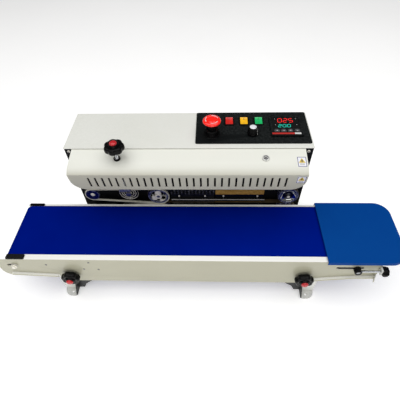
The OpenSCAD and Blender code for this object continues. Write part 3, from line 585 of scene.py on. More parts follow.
def plate(outlines, z0, z1, edge=0.2):
    """Plate with holes and broken edges: the first outline is its rim, the others its holes."""
    curve = bpy.data.curves.new("plate", "CURVE")
    curve.dimensions = "2D"
    curve.fill_mode = "BOTH"
    curve.extrude = (z1 - z0) / 2 - edge
    curve.bevel_depth = edge
    curve.bevel_resolution = 1
    curve.offset = -edge
    for outline in outlines:
        spline = curve.splines.new("POLY")
        spline.points.add(len(outline) - 1)
        for point, (x, y) in zip(spline.points, outline):
            point.co = (x, y, 0, 1)
        spline.use_cyclic_u = True
    thing = new_object("plate", curve)
    bpy.context.view_layer.update()
    mesh = bpy.data.meshes.new_from_object(thing.evaluated_get(bpy.context.evaluated_depsgraph_get()))
    work = bmesh.new()
    work.from_mesh(mesh)
    bmesh.ops.remove_doubles(work, verts=work.verts, dist=0.001)
    bmesh.ops.recalc_face_normals(work, faces=work.faces)
    work.verts.index_update()
    verts = [(v.co.x, v.co.y, v.co.z + (z0 + z1) / 2) for v in work.verts]
    faces = [tuple(v.index for v in f.verts) for f in work.faces]
    work.free()
    bpy.data.objects.remove(thing)
    bpy.data.curves.remove(curve)
    bpy.data.meshes.remove(mesh)
    return verts, faces


def star(d, h, lobes=7, scoop=0.10, n=16):
    """Moulded hand knob: full round lobes, with its rims rounded over and a shallow dish on top."""

    def ring(scale, z, grow):
        out = []
        for i in range(lobes * n):
            a = 2 * math.pi * i / (lobes * n)
            wave = 0.5 - 0.5 * math.cos(a * lobes)
            r = d / 2 * (1 - scoop * grow * wave ** 1.4) * scale
            out.append((r * math.cos(a), r * math.sin(a), z))
        return out

    rows = [(0.80, 0.0, 0.7), (0.90, 0.5, 0.9), (0.965, 1.7, 1.0), (0.995, 3.6, 1.0),
        (1.0, h * 0.45, 1.0), (0.99, h - 4.2, 1.0), (0.955, h - 2.0, 1.0), (0.90, h - 0.7, 0.95),
        (0.83, h - 0.1, 0.8), (0.74, h, 0.5), (0.66, h - 0.2, 0.2), (0.60, h - 0.7, 0.0)]
    return loft([ring(*row) for row in rows])


class Piece:
    """One visible object made of shapes, each with its own material, riding on a body."""

    def __init__(self, name, body, slot=None, nodes=()):
        self.name, self.body, self.slot, self.nodes = name, body, slot, nodes
        self.verts, self.faces, self.index, self.looks = [], [], [], []

    def add(self, shape, look, place=UP):
        verts, faces = shape
        base = len(self.verts)
        self.verts += [place @ Vector(v) for v in verts]
        self.faces += [tuple(base + i for i in f) for f in faces]
        if look not in self.looks:
            self.looks.append(look)
        self.index += [self.looks.index(look)] * len(faces)

    def done(self, smooth=38):
        mesh = bpy.data.meshes.new(self.name)
        mesh.from_pydata([tuple(v * MM) for v in self.verts], [], self.faces)
        for look in self.looks:
            mesh.materials.append(look)
        mesh.polygons.foreach_set("material_index", self.index)
        work = bmesh.new()
        work.from_mesh(mesh)
        bmesh.ops.recalc_face_normals(work, faces=work.faces)
        work.to_mesh(mesh)
        work.free()
        mesh.polygons.foreach_set("use_smooth", [True] * len(mesh.polygons))
        mesh.set_sharp_from_angle(angle=math.radians(smooth))
        thing = new_object(self.name, mesh)
        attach(thing, self.body)
        if self.nodes:
            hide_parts(*self.nodes)


def pan_head(r, h):
    """Domed screw head."""
    profile = [(r * 0.96, 0), (r, 0.25), (r, h * 0.4), (r * 0.86, h * 0.78), (r * 0.55, h * 0.97), (0, h)]
    return lathe(profile, 32)


def cross(r, z):
    """Cross recess of a screw head of radius r, as a cross that ends just above height z."""
    arm, reach = r * 0.16, r * 0.6
    outline = [(arm, -reach), (arm, -arm), (reach, -arm), (reach, arm), (arm, arm), (arm, reach),
        (-arm, reach), (-arm, arm), (-reach, arm), (-reach, -arm), (-arm, -arm), (-arm, -reach)]
    return loft([[(x, y, height) for x, y in outline] for height in (z - 0.5, z + 0.04)])


# ----- hand knobs and the conveyor's axles -----

STAR_WIDE = 44
STAR_TALL, BOSS_TALL, CAP_TALL = 14, 3, 4.5
KNOB_TALL = STAR_TALL + BOSS_TALL + CAP_TALL
COLLAR_ROOM = 4.0  # between a clamp knob and the conveyor's front plate
ROD = 4  # radius of the knobs' threaded rods


def cap_shape(r, h):
    """Pressed cap: a raised lip round a shallow dome."""
    return lathe([(r - 0.4, -2), (r, -1.4), (r, h * 0.25), (r * 0.93, h * 0.55), (r * 0.78, h * 0.8),
        (r * 0.55, h * 0.94), (r * 0.28, h * 0.99), (0, h)], 48)


def hand_knob(name, body, node, place):
    """Star knob with a raised boss and a red cap. The place is at the middle of its inner face."""
    turn = Piece(name, body, "black_plastic", (node,))
    turn.add(star(STAR_WIDE, STAR_TALL), PLASTIC, place)
    turn.add(lathe([(9, -0.5), (9, -0.2), (10.2, 0), (11.5, 0.4)], 48), PLASTIC, place)
    r, low, top = STAR_WIDE / 4, STAR_TALL, STAR_TALL + BOSS_TALL
    boss = [(r + 1.0, low - 1.2), (r + 0.9, low - 0.2), (r + 0.2, low + 0.6), (r - 0.1, top - 0.8),
        (r - 0.8, top), (8.4, top + 0.1), (8.2, top - 0.6)]
    turn.add(lathe(boss, 64), PLASTIC, place)
    turn.done()
    cap = Piece(name + "_cap", body, "red_plastic")
    cap.add(cap_shape(8, CAP_TALL), CAP_RED, place @ at(0, 0, top))
    cap.done()


def pressure_screw():
    whole = Cad("pressure_knob")
    x, y, base = whole.x, whole.y, whole.z1 - KNOB_TALL
    collar, nut = base - 6, base - 10
    hand_knob("pressure_star_knob", "pressure_screw", "pressure_knob", at(x, y, base, UP, 8))
    rod = Piece("pressure_rod", "pressure_screw", "zinc_steel")
    rod.add(thread(ROD, base - 4 - whole.z0), CHROME, at(x, y, whole.z0))
    rod.add(lathe([(8.4, 0), (9, 0.5), (9, 5.6), (8.6, 6.0)], 48), CHROME, at(x, y, collar))
    rod.add(prism(hexagon(13), 0, 3.6, 0.4), ZINC, at(x, y, nut, UP, 14))
    rod.done()


def clamps():
    for side, spin in (("left", 4), ("right", 21)):
        node = "clamp_knob_" + side
        whole = Cad(node)
        x, y, z = whole.x, whole.y0 + KNOB_TALL, whole.z
        body = "clamp_" + side
        hand_knob(f"clamp_{side}_star_knob", body, node, at(x, y, z, FRONT, spin))
        stud = Piece(f"clamp_{side}_stud", body, "zinc_steel")
        collar = lathe([(8.2, 0), (9, 0.5), (9, 3.0), (8.6, 3.6)], 48)
        stud.add(collar, ZINC, at(x, y + COLLAR_ROOM, z, FRONT))
        stud.add(thread(ROD, whole.y1 - y), CHROME, at(x, y, z, BACK))
        nut = 4.4
        stud.add(prism(hexagon(12.6), 0, nut, 0.4), ZINC, at(x, whole.y1 - nut, z, BACK, 11))
        stud.done()


def tensioner():
    whole = Cad("tension_knob")
    tall = 13
    x, y, z = whole.x1 - tall, whole.y, whole.z
    turn = Piece("tension_star_knob", "tensioner", "black_plastic", ("tension_knob",))
    turn.add(star(24.5, 11.5), PLASTIC, at(x, y, z, RIGHT, 12))
    turn.add(lathe([(6.6, 10.6), (6.2, 12.2), (5.2, 12.8), (0, tall)], 40), PLASTIC, at(x, y, z, RIGHT))
    turn.add(lathe([(5.0, 0), (5.4, 0.3), (5.8, 1.4)], 40), PLASTIC, at(x - 0.8, y, z, RIGHT))
    turn.done()
    rod = Piece("tension_rod", "tensioner", "zinc_steel")
    rod.add(thread(3, x - whole.x0 + 2, 1.0), CHROME, at(whole.x0, y, z, RIGHT))
    rod.done()


# The conveyor's slots: radius of an axle's bore, half the height of the plate behind it, and how far
# behind the plate's outer face that plate's back lies
# The plate behind a slot is black: painted shade, so the slot looks dark.
AXLE_BORE, SHADE_PLATE_HALF, SHADE_PLATE_BACK = 4.2, 8, 4


def plate_front():
    """Place of the outer face of the conveyor's front plate."""
    return Cad("clamp_knob_left").y0 + (KNOB_TALL + COLLAR_ROOM)


def slot_shade_plate(x0, x1):
    """Black plate behind an axle's slot, bored for the axle at 0: painted shade, so the slot looks dark."""
    return plate([rect(x0, -SHADE_PLATE_HALF, x1, SHADE_PLATE_HALF, 1), circle(AXLE_BORE, 24)], 0, 2, 0.2)


def slot_shade_fill(x0, x1):
    """Black blocks that fill the slot on both sides of the axle's bore: painted shade, so the slot looks
    dark.
    """
    half, bore = 3.9, AXLE_BORE + 0.2
    return [prism(rect(a, -half, b, half, 1.2, 3), 0.3, 4.2, 0.3) for a, b in ((x0, -bore), (bore, x1))]


def axle_ends():
    """Black boss and threaded tab of the tension screw, and the nut on the driving roller's axle."""
    hold = Cad("tension_bracket")
    idler = Cad("conveyor_idler_roller")
    front = plate_front()
    piece = Piece("idler_boss", "conveyor", "black_plastic", ("tension_bracket",))
    ring = [(AXLE_BORE, 0), (8, 0), (8, 12.4), (7.2, 13.4), (5.4, 13.5), (4.6, 13.1), (AXLE_BORE, 12.4)]
    piece.add(hoop(ring), PLASTIC, at(idler.x, front, idler.z, FRONT))
    # Black plate and fillers in the idler's slot: painted shade, so the slot looks dark.
    piece.add(slot_shade_plate(-48, 20), PLASTIC, at(idler.x, front + SHADE_PLATE_BACK, idler.z, FRONT))
    for dark_fill in slot_shade_fill(-40, 11):
        piece.add(dark_fill, PLASTIC, at(idler.x, front + SHADE_PLATE_BACK + 0.1, idler.z, FRONT))
    screw = circle(3.15, 24, -7.5, 0)
    tab = plate([rect(-12.4, -9, 0, 9, 2), screw], 0, 3, 0.3)
    piece.add(tab, BRACKET_PAINT, at(hold.x1 - 3, front, idler.z, RIGHT))
    piece.done()
    driver = Cad("conveyor_drive_roller")
    nut = Piece("drive_axle_nut", "conveyor_driver", "chrome_steel")
    face = at(driver.x, front, driver.z, FRONT)
    nut.add(lathe([(7.0, 0.5), (7.2, 0.8), (7.2, 1.7), (6.8, 2.0)], 40), POLISHED_PAINTED_BRIGHT, face)
    nut.add(prism(hexagon(11.4), 2.0, 6.4, 0.6), POLISHED_PAINTED_BRIGHT, face @ Matrix.Rotation(0.3, 4, "Z"))
    nut.add(lathe([(4, 5), (4, 8.0), (3.4, 8.6), (0, 8.7)], 32), POLISHED_PAINTED_BRIGHT, face)
    nut.done()


pressure_screw()
clamps()
tensioner()
axle_ends()

# ----- control panel -----

panel = Cad("control_panel")


def emergency_stop():
    head = Cad("estop_button")
    place = at(head.x, head.y, 0)
    r, top = (head.x1 - head.x0) / 2, head.z1
    button = Piece("estop_mushroom", "estop", "red_plastic", ("estop_button",))
    stem = [(8.4, head.z0), (9, head.z0 + 0.6), (9, top - 10.6), (11.5, top - 9.6), (12, top - 8.8)]
    button.add(lathe(stem, 64), GLOSS_BLACK, place)
    # How far in from the rim, and how far down from the top
    dome = [(7.0, 9.1), (3.0, 7.6), (0.8, 6.7), (0, 5.6), (0, 4.4), (0.5, 3.2), (1.7, 1.9), (3.2, 1.2),
        (5.0, 0.9), (7.2, 0.75), (8.0, 1.4), (8.8, 1.5), (9.8, 1.0), (12, 0.5), (16, 0.1), (r, 0)]
    button.add(lathe([(r - inward, top - down) for inward, down in dome], 96), GLOWING_RED, place)
    button.done(50)
    arrows = Piece("estop_arrows", "estop", "label_film")
    middle, high, low = r - 5.9, top - 0.72, top - 1.07
    steps, tip = 18, 4
    for start in (20, 140, 260):
        rings = []
        for i in range(steps + 1):
            a = math.radians(start + 78 * i / steps)
            wide = 0.7 if i < steps - tip else 1.2 * (steps - i) / tip
            inner, outer = ((rr * math.cos(a), rr * math.sin(a)) for rr in (middle - wide, middle + wide))
            rings.append([(*inner, high), (*outer, high), (*outer, low), (*inner, low)])
        arrows.add(loft(rings), WHITE_PRINT, place)
    arrows.done()
    base = Cad("estop_base")
    collar = Piece("estop_collar", "machine", "black_plastic", ("estop_base",))
    place = at(base.x, base.y, panel.z1)
    cup = [(19.0, 0), (19.2, 0.6), (18.2, 1.8), (15.6, 2.2), (15.0, 3.0), (14.8, 13.4), (14.2, 14.0),
        (10.2, 14.0), (9.6, 13.4), (9.6, 0)]
    collar.add(hoop(cup, 72), PLASTIC, place)
    neck = [(10.6, -32), (11, -31.6), (11, 0.5), (9.7, 0.5), (9.7, -7.6), (0, -7.6)]
    collar.add(lathe(neck, 48), PLASTIC, place)
    collar.add(prism(rect(-14, -10, 14, 10, 1.5), -56, -30, 0.5), PLASTIC, place)
    ribs = 24
    for i in range(ribs):
        rib = prism(rect(-0.7, -0.8, 0.7, 0.8, 0.3, 2), 3, 13, 0.3)
        collar.add(rib, PLASTIC, place @ at(0, 0, 0, UP, 360 / ribs * i) @ at(15.0, 0, 0))
    collar.done()


def rockers():
    tilt, deep = 8, 2.5
    slope, rise = math.degrees(math.atan2(1.3, 10.8)), 5.0
    for name in ("power", "heat", "fan"):
        box = Cad("rocker_" + name)
        place = at(box.x, box.y, panel.z1 - deep) @ lean(tilt)
        mark = Piece(f"rocker_{name}_marks", name + "_switch", "label_film")
        far = place @ at(0, 6.2, rise) @ lean(slope)
        near = place @ at(0, -6.2, rise) @ lean(-slope)
        mark.add(prism(rect(-0.35, -1.9, 0.35, 1.9, 0.2, 2), -0.25, 0.09, 0.04), DARK_PRINT, near)
        mark.add(plate([circle(1.9, 32), circle(1.25, 32)], -0.25, 0.09, 0.04), DARK_PRINT, far)
        mark.done()


def speed_control():
    box = Cad("speed_knob")
    place = at(box.x, box.y, panel.z1)
    flutes, per_flute = 18, 8
    knob = Piece("speed_fluted_knob", "speed_dial", "black_plastic", ("speed_knob",))

    def ring(r, height, depth):
        out = []
        for i in range(flutes * per_flute):
            a = 2 * math.pi * i / (flutes * per_flute)
            rr = r - depth * max(0.0, math.cos(flutes * a)) ** 2
            out.append((rr * math.cos(a), rr * math.sin(a), height))
        return out

    # Radius, height above the panel and depth of the flutes
    rows = ((11.6, 0.6, 0), (12.3, 0.9, 0), (12.5, 1.6, 0), (12.0, 3.6, 0), (11.8, 4.5, 0), (11.4, 4.9, 0.1),
        (11.1, 6.0, 0.9), (10.3, 17.2, 0.8), (9.8, 18.2, 0.3), (8.8, 18.7, 0))
    knob.add(loft([ring(*row) for row in rows]), PLASTIC, place)
    knob.add(lathe([(3, -8), (3, 1)], 32), ZINC, place)
    knob.done(48)
    cap = Piece("speed_knob_cap", "speed_dial", "label_film")
    cap.add(lathe([(7.6, 18.4), (7.6, 19.1), (7.0, 19.5), (3.0, 19.6), (0, 19.6)], 48), FOIL, place)
    pointer = place @ at(0, 0, 0, UP, -32)
    cap.add(prism(rect(9.4, -0.5, 12.7, 0.5, 0.2, 2), 1.0, 4.4, 0.1), WHITE_PRINT, pointer)
    side = pointer @ at(10.95, 0, 5.2) @ lean(-3.8, "Y")
    cap.add(prism(rect(-0.3, -0.5, 0.35, 0.5, 0.1, 2), 0, 12.6, 0.1), WHITE_PRINT, side)
    cap.add(prism(rect(3.6, -0.3, 7.2, 0.3, 0.1, 2), 19.4, 19.75, 0.05), DARK_PRINT, pointer)
    cap.done()


SEGMENTS = {"0": "abcdef", "1": "bc", "2": "abged", "3": "abgcd", "4": "fgbc", "5": "afgcd", "6": "afgedc",
    "7": "abc", "8": "abcdefg"}


def digit(character, w, h):
    """Seven-segment figure as (shape, lit) pairs, leaning to the right."""
    t = w * 0.19
    half = t / 2
    out = []
    for name in "abcdefg":
        if name in "agd":
            low, high = t * 0.6, w - t * 0.6
        else:
            low, high = (h / 2 + t * 0.1, h - t * 0.1) if name in "bf" else (t * 0.1, h / 2 - t * 0.1)
        bar = [(low, 0), (low + half, -half), (high - half, -half), (high, 0), (high - half, half),
            (low + half, half)]
        if name in "agd":
            y = {"a": h, "g": h / 2, "d": 0}[name]
            line = [(along, y + across) for along, across in bar]
        else:
            x = w if name in "bc" else 0
            line = [(x - across, along) for along, across in bar]
        slanted = [(px + py * 0.1, py) for px, py in line]
        out.append((prism(slanted, -0.3, 0.12, 0.05), name in SEGMENTS[character]))
    return out


def controller():
    box = Cad("temperature_controller")
    x, y, z = box.x, box.y, box.z1
    sunk = z - 0.5
    window = Piece("controller_window", "machine", "black_plastic")
    window.add(prism(rect(x - 30.7, y - 10.7, x + 30.7, y + 29.7, 0.8), z - 1.1, z - 0.55, 0.1), FACE)
    window.done()
    for name, text, dx, dy, w, h, lit in (
            ("controller_reading", "025", -17.5, 12.5, 8.6, 14.0, RED_LIT),
            ("controller_setting", "200", -18.0, -5.2, 7.0, 9.8, GREEN_LIT)):
        show = Piece(name, "machine", "red_plastic" if lit is RED_LIT else "green_lens")
        dark = Piece(name + "_unlit", "machine", "black_plastic")
        for i, character in enumerate(text):
            place = at(x + dx + i * w * 1.46, y + dy, sunk)
            for shape, on in digit(character, w, h):
                (show if on else dark).add(shape, lit if on else UNLIT, place)
        show.done()
        dark.done()
    trim = Piece("controller_strip", "machine", "red_plastic")
    for x0, x1, look in ((-34.2, 15.5, STRIP_RED), (15.7, 29.8, WHITE_PRINT)):
        trim.add(prism(rect(x + x0, y - 31.0, x + x1, y - 25.6, 0.6), z - 0.3, z + 0.12, 0.05), look)
    trim.done()
    legend = Piece("controller_marks", "machine", "label_film")
    frame_outlines = [rect(-5.6, -3.9, 5.6, 3.9, 2.2), rect(-5.0, -3.4, 5.0, 3.4, 1.9)]
    for node in ("key_set", "key_shift", "key_down", "key_up"):
        key = Cad(node)
        place = at(key.x, key.y, 0)
        legend.add(plate(frame_outlines, z - 0.2, z + 0.08, 0.04), GREY_PRINT, place)
        legend.add(prism(rect(-3.4, 5.6, 3.4, 6.3), z - 0.2, z + 0.08, 0.04), GREY_PRINT, place)
    for px, py in ((-23.5, 25.5), (-23.5, 3.5), (24.8, 25.5), (24.8, 3.5)):
        legend.add(lathe([(0.8, -0.3), (0.8, 0.0), (0, 0.1)], 20), WHITE_PRINT, at(x + px, y + py, sunk))
    legend.done()


def key_faces():
    arrows = {"set": circle(1.1, 24), "shift": [(-1.6, 0), (1.1, -1.4), (1.1, 1.4)],
        "down": [(0, -1.5), (1.6, 1.0), (-1.6, 1.0)], "up": [(-1.6, -1.0), (1.6, -1.0), (0, 1.5)]}
    for name, outline in arrows.items():
        key = Cad("key_" + name)
        mark = Piece(f"key_{name}_sign", name + "_key", "label_film")
        mark.add(prism(outline, -0.25, 0.06, 0.03), WHITE_PRINT, at(key.x, key.y, key.z1))
        mark.done()


emergency_stop()
rockers()
speed_control()
controller()
key_faces()

# ----- wheels of the sealing line -----

SHAFT = 6  # radius


def wheel_place(node):
    """The wheel's CAD box, and the place of its front face with its own Z axis to the back."""
    box = Cad(node)
    return box, at(box.x, box.y0, box.z, BACK)


def drive_wheel(node, body):
    """Blue rim, bright web with three round holes, hub nut and shaft."""
    box, place = wheel_place(node)
    r = (box.x1 - box.x0) / 2
    piece = Piece(node + "_spoked", body, "wheel_blue", (node,))
    track, step, wide = r - 1, 5.3, 16.8
    rim = [(track - 5, 0.3), (track - 0.6, 0), (track, 0.4), (track, step), (r, step), (r, wide - 0.4),
        (r - 0.4, wide), (track - 4.6, wide), (track - 5, wide - 0.4)]
    piece.add(hoop(rim, 96), NAVY, place)
    thirds = [math.radians(a) for a in (0, 120, 240)]
    holes = [circle(7.2, 40, 12.2 * math.cos(a), 12.2 * math.sin(a)) for a in thirds]
    piece.add(plate([circle(track - 4.9, 96)] + holes, 1.0, 5.0, 0.6), POLISHED_PAINTED_BRIGHT, place)
    # Black disc behind the web: painted shade, so the three holes look dark.
    piece.add(lathe([(track - 5.5, 5.4), (0, 5.4)], 64), GLOSS_BLACK, place)
    hub = [(0, 0.3), (5.2, 0.3), (5.6, -0.05), (8.0, 0), (8.6, 0.2), (8.9, 1.2), (9, 5)]
    piece.add(lathe(hub, 48), POLISHED_PAINTED_BRIGHT, place)
    piece.add(prism(hexagon(7.6), -0.02, 0.8, 0.3), ZINC, place)
    deep = box.y1 - box.y0
    piece.add(lathe([(SHAFT, wide - 1), (SHAFT, deep - 0.4), (5.6, deep)], 40), ZINC, place)
    for a in (60, 180, 300):
        piece.add(pan_head(1.9, 1.0), ZINC, place @ at(0, 0, 0, UP, a) @ at(15.5, 0, 0.6) @ lean(180))
    piece.done()


drive_wheel("drive_wheel_upper", "upper_drive")
drive_wheel("drive_wheel_lower", "lower_drive")


def turned_wheel(node, body, rim, hub, look_hub):
    """Blue wheel from two profiles measured from its front face, with a shaft and its flange at the back."""
    box, place = wheel_place(node)
    piece = Piece(node + "_turned", body, "wheel_blue", (node,))
    piece.add(lathe(rim, 96), NAVY, place)
    piece.add(lathe(hub, 64), look_hub, place)
    deep, flange = box.y1 - box.y0, 10
    shaft = [(SHAFT, 16), (SHAFT, deep - 4.4), (flange, deep - 4.4), (flange, deep - 0.4), (9.6, deep)]
    piece.add(lathe(shaft, 40), ZINC, place)
    return piece, place


def idlers():
    r = 24.5
    rim = [(r - 6.4, 6), (r - 6.2, 2.6), (r - 5.4, 2.1), (r - 0.6, 2.0), (r, 2.5), (r, 16.4), (r - 0.4, 16.8)]
    hub = [(0, 0.4), (4.4, 0.4), (5.2, 1.2), (6.6, 3.4), (8.2, 5.6), (13.6, 6.0)]
    lip = [(13.2, 6.4), (13.2, 6.0), (16.4, 4.8), (18.0, 2.2), (18.7, 1.7), (19.3, 2.0), (19.4, 2.6),
        (19.0, 6.4)]
    for side in ("upper", "lower"):
        piece, place = turned_wheel("idler_wheel_" + side, side + "_idler", rim, hub, DARK_STEEL)
        piece.add(hoop(lip, 96), CHROME, place)
        piece.add(prism(hexagon(7), 0.02, 1.2, 0.3), POLISHED_PAINTED_BRIGHT, place)
        piece.done()


def pulleys():
    r = 17
    rim = [(5.4, 1.6), (8, 1.7), (12.5, 0.9), (15.6, 0.0), (16.8, 0.3), (r, 0.9), (r, 5.6), (16.6, 5.8),
        (8, 5.8), (8, 16.8)]
    hub = [(0, 0.2), (2.6, 0.3), (3.4, 0.8), (4.8, 1.0), (5.6, 1.7)]
    for side in ("upper", "lower"):
        piece, place = turned_wheel("guide_pulley_" + side, side + "_guide", rim, hub, POLISHED_PAINTED_BRIGHT)
        piece.add(prism(hexagon(6), 0.02, 1.0, 0.2), POLISHED_PAINTED_BRIGHT, place)
        piece.done()


def emboss():
    """Dark web with a rim and bright raised rings."""
    box, place = wheel_place("emboss_wheel")
    r, face = (box.x1 - box.x0) / 2, 1.9
    piece = Piece("emboss_wheel_rings", "embosser", "chrome_steel", ("emboss_wheel",))
    web = [(4.3, 7.5), (4.3, face), (r - 1.2, face), (r - 0.9, 0.6), (r - 0.2, 0.5), (r, 1.0), (r, 7.0),
        (r - 0.5, 7.5)]
    piece.add(hoop(web, 96), WALL, place)
    half_turn = [math.pi * k / 6 for k in range(7)]
    for mid, half in ((r - 1.2, 0.9), (17.4, 0.8), (12.4, 0.8), (5.7, 1.4)):
        ring = [(mid + half * math.cos(a), face - half * 0.9 * math.sin(a)) for a in half_turn]
        ring += [(mid - half, face + 0.3), (mid + half, face + 0.3)]
        piece.add(hoop(ring, 96), POLISHED_PAINTED_BRIGHT, place)
    piece.done()


idlers()
pulleys()
emboss()

# ----- small hardware -----


def cover_screws():
    wall, cover, rear = Cad("wall_board"), Cad("top_cover"), Cad("rear_cover")
    piece = Piece("cover_screw_heads", "machine", "zinc_steel", ("cover_screws",))
    left, right, low = cover.x0 + 10, cover.x1 - 11, 60
    front = [(left, cover.z1 - 10), (right, cover.z1 - 11), (left, low), (right, low)]
    spots = [at(x, wall.y0, z, FRONT, random.uniform(0, 90)) for x, z in front]
    left, mid, right = cover.x0 + 12, (cover.x0 + cover.x1) / 2, cover.x1 - 12
    high, low = 305, 54
    for y, z, across in ((cover.y1, high, (left, mid, right)), (rear.y1, low, (left, right))):
        spots += [at(x, y, z, BACK, random.uniform(0, 90)) for x in across]
    r, tall = 3.5, 2
    for place in spots:
        piece.add(pan_head(r, tall), POLISHED_PAINTED_BRIGHT, place)
        piece.add(cross(r, tall - 0.02), GLOSS_BLACK, place)
    piece.done()


def conveyor_screws():
    box = Cad("conveyor_frame")
    front = plate_front()
    piece = Piece("conveyor_fixings", "conveyor", "zinc_steel", ("conveyor_screws",))
    rim = [(2.4, 0), (2.4, 0.3), (2.0, 0.6), (1.4, 0.5)]
    pin = [(1.3, 0.3), (1.2, 0.8), (0.7, 1.0), (0, 1.05)]
    for x, z in ((-246, 137), (-264, 108), (-230, 107), (-348, 126)):
        piece.add(lathe(rim, 24), DARK_PRINT, at(x, front, z, FRONT))
        piece.add(lathe(pin, 20), ZINC, at(x, front, z, FRONT))
    tray = Cad("infeed_tray")
    spacer = [(2.6, 149), (2.6, tray.z1 - 1.9)]
    head = [(2.5, 0), (2.6, 0.1), (2.2, 0.35), (0, 0.42)]
    for x in (tray.x0 + 20, tray.x0 + 110):
        for y in (front + 7, box.y1 - 3):
            piece.add(lathe(spacer, 24), ZINC, at(x, y, 0))
            piece.add(lathe(head, 24), TRAY, at(x, y, tray.z1 - 0.1))
    driver = Cad("conveyor_drive_roller")
    # Black plate behind the driving roller's slot: painted shade, so the slot looks dark.
    piece.add(slot_shade_plate(-20, 10), PLASTIC, at(driver.x, front + SHADE_PLATE_BACK, driver.z, FRONT))
    piece.done()


# The front guard's folds in profile, from the back edge down to the foot
BACK_EDGE, CROWN, BROW, FOOT = ((27.2, 317.9), (-24, 308.3), (-36, 299), (-28.5, 246))


def fold_angle(low, high):
    """Degrees between the level and the line from one fold to the other."""
    return math.degrees(math.atan2(high[1] - low[1], high[0] - low[0]))


def middle(a, b):
    return (a[0] + b[0]) / 2, (a[1] + b[1]) / 2


def bushes():
    box = Cad("guard_bushes")
    y, z = 0.5, box.z0
    piece = Piece("guard_bush_rings", "machine", "zinc_steel", ("guard_bushes",))
    wide = 7.6
    tube = [(4.2, 0.4), (4.6, 0), (5.0, 0.3), (5.0, 12.2), (4.7, 12.6), (4.2, 12.3)]
    flange = [(4.9, 0), (wide, 0), (wide, 2.2), (6.9, 3.2), (5.6, 3.6), (4.9, 3.2)]
    # The right bush has a dark sleeve and a black dot on top of its pale plug: painted shade, standing for
    # its dark hole.
    for x, ring, core in ((box.x0 + wide, PLASTIC, ZINC), (box.x1 - wide, BRACKET_PAINT, DARK_PRINT)):
        place = at(x, y, z)
        piece.add(hoop(tube, 40), core, place)
        piece.add(hoop(flange, 48), ring, at(x, y, z + 8) @ lean(fold_angle(CROWN, BACK_EDGE)))
        if ring is BRACKET_PAINT:
            piece.add(lathe([(4.1, 8), (4.1, 11), (0, 11.4)], 32), BRACKET_PAINT, place)
            piece.add(lathe([(1.7, 10.8), (1.6, 11.6), (0, 11.8)], 24), GLOSS_BLACK, place)
    piece.done()


def rail_bolts():
    """Bright screw heads and edge strips of the band's front rails, whose brightness is painted highlight,
    and the dark plates below the heater, which are painted shade.
    """
    piece = Piece("band_rail_bolts", "machine", "zinc_steel")
    rail, heater = Cad("band_rails"), Cad("heater_block_upper")
    # The strips are painted highlights along the rails' edges; the dark plates are painted shade.
    screws, strips, shade_plates = 29, 15.2, 18  # how far above and below the band

    def bar(x0, x1, mid, half, look, y, r):
        outline = rect(x0, rail.z + mid - half, x1, rail.z + mid + half, r, 2)
        piece.add(prism(outline, 0, 0.3, 0.1), look, at(0, y, 0, FRONT))

    for side in (1, -1):
        for dx in (20, 84, 129, 212):
            piece.add(pan_head(2.4, 1.6), POLISHED_PAINTED_BRIGHT, at(rail.x0 + dx, rail.y0, rail.z + screws * side, FRONT))
        bar(rail.x0, rail.x1, strips * side, 0.7, POLISHED_PAINTED_BRIGHT, rail.y0, 0.3)
        bar(heater.x0, heater.x1, shade_plates * side, 15.5, GLOSS_BLACK, heater.y0 + 4.5, 0.5)
    piece.done()


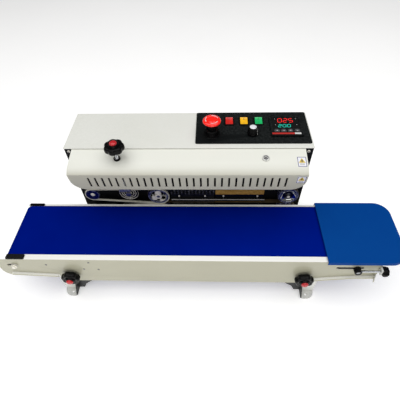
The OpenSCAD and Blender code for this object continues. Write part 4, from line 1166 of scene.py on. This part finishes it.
def notices():
    """Two small stickers, each with a plain triangle and blank lines."""
    box = Cad("guard_labels")
    piece = Piece("guard_stickers", "machine", "label_film", ("guard_labels",))
    slope = fold_angle(CROWN, BACK_EDGE)
    y, z = middle(CROWN, BACK_EDGE)
    upper = at(box.x, y - 10, z - 10 * math.tan(math.radians(slope))) @ lean(slope)
    lower = at(box.x, *middle(BROW, FOOT)) @ lean(fold_angle(FOOT, BROW) - 90) @ at(0, 0, 10.5, FRONT)
    thin = 0.04
    for place, w, h in ((upper, 9.5, 13.0), (lower, 9.5, 11.5)):
        piece.add(prism(rect(-w, -h, w, h, 1.0, 3), -0.05, 0.34, 0.05), FOIL, place)
        edge = [rect(d - w, d - h, w - d, h - d, corner, 3) for d, corner in ((0.3, 0.8), (1.5, 0.5))]
        piece.add(plate(edge, 0.2, 0.42, thin), BLUE_PRINT, place)
        piece.add(prism([(-7.2, -2.6), (7.2, -2.6), (0, 9.6)], 0.2, 0.44, thin), YELLOW_PRINT, place)
        piece.add(prism(rect(-1.3, -0.6, 1.3, 5.4), 0.3, 0.5, thin), DARK_PRINT, place)
        for low in (-5.6, -8.2):
            piece.add(prism(rect(-5.0, low, 5.0, low + 0.8), 0.2, 0.42, thin), DARK_PRINT, place)
    piece.done()


def inlet_pins():
    box = Cad("power_inlet")
    piece = Piece("inlet_pins", "machine", "zinc_steel")
    pin = prism(rect(-1, -2, 1, 2, 0.4, 3), 0, 14.5, 0.4)
    level, sunk = 62, 18.5
    for dx, dz in ((-6.5, -1.5), (0, 2.5), (6.5, -1.5)):
        piece.add(pin, CHROME, at(box.x + dx, box.y1 - sunk, level + dz, BACK, 90))
    piece.done()


cover_screws()
conveyor_screws()
bushes()
notices()
inlet_pins()
rail_bolts()

# ----- floor and light -----


def stage():
    mesh = bpy.data.meshes.new("floor")
    half = 6.0
    corners = [(x, y, 0) for x, y in rect(-half, -half, half, half)]
    mesh.from_pydata(corners, [], [(0, 1, 2, 3)])
    floor = new_object("floor", mesh)
    pale = Shader("floor_white", (248, 248, 248), (246, 246, 246), 0.8, 0.03, 3)
    mesh.materials.append(pale.done(specular=0.1, glow=(255, 255, 255), power=0.34))


def area(name, place, target, size, power, colour=(1, 1, 1)):
    data = bpy.data.lights.new(name, "AREA")
    data.shape = "RECTANGLE"
    data.size, data.size_y = size
    data.energy = power
    data.color = colour
    lamp = new_object(name, data)
    lamp.location = place
    lamp.rotation_mode = "QUATERNION"
    lamp.rotation_quaternion = (Vector(target) - Vector(place)).to_track_quat("-Z", "Y")


def lighting():
    world = bpy.data.worlds.new("studio")
    bpy.context.scene.world = world
    world.use_nodes = True
    background = world.node_tree.nodes["Background"]
    background.inputs["Color"].default_value = (1.0, 0.985, 0.95, 1)
    background.inputs["Strength"].default_value = 0.12
    area("overhead", (0.0, -0.25, 2.3), (0, 0, 0.1), (4.4, 3.0), 72)
    area("fill", (0.1, -2.0, 0.75), (0, 0, 0.15), (1.8, 0.5), 6, (1.0, 0.97, 0.9))
    scene = bpy.context.scene
    scene.view_settings.view_transform = "Standard"
    scene.view_settings.look = "None"


stage()
lighting()
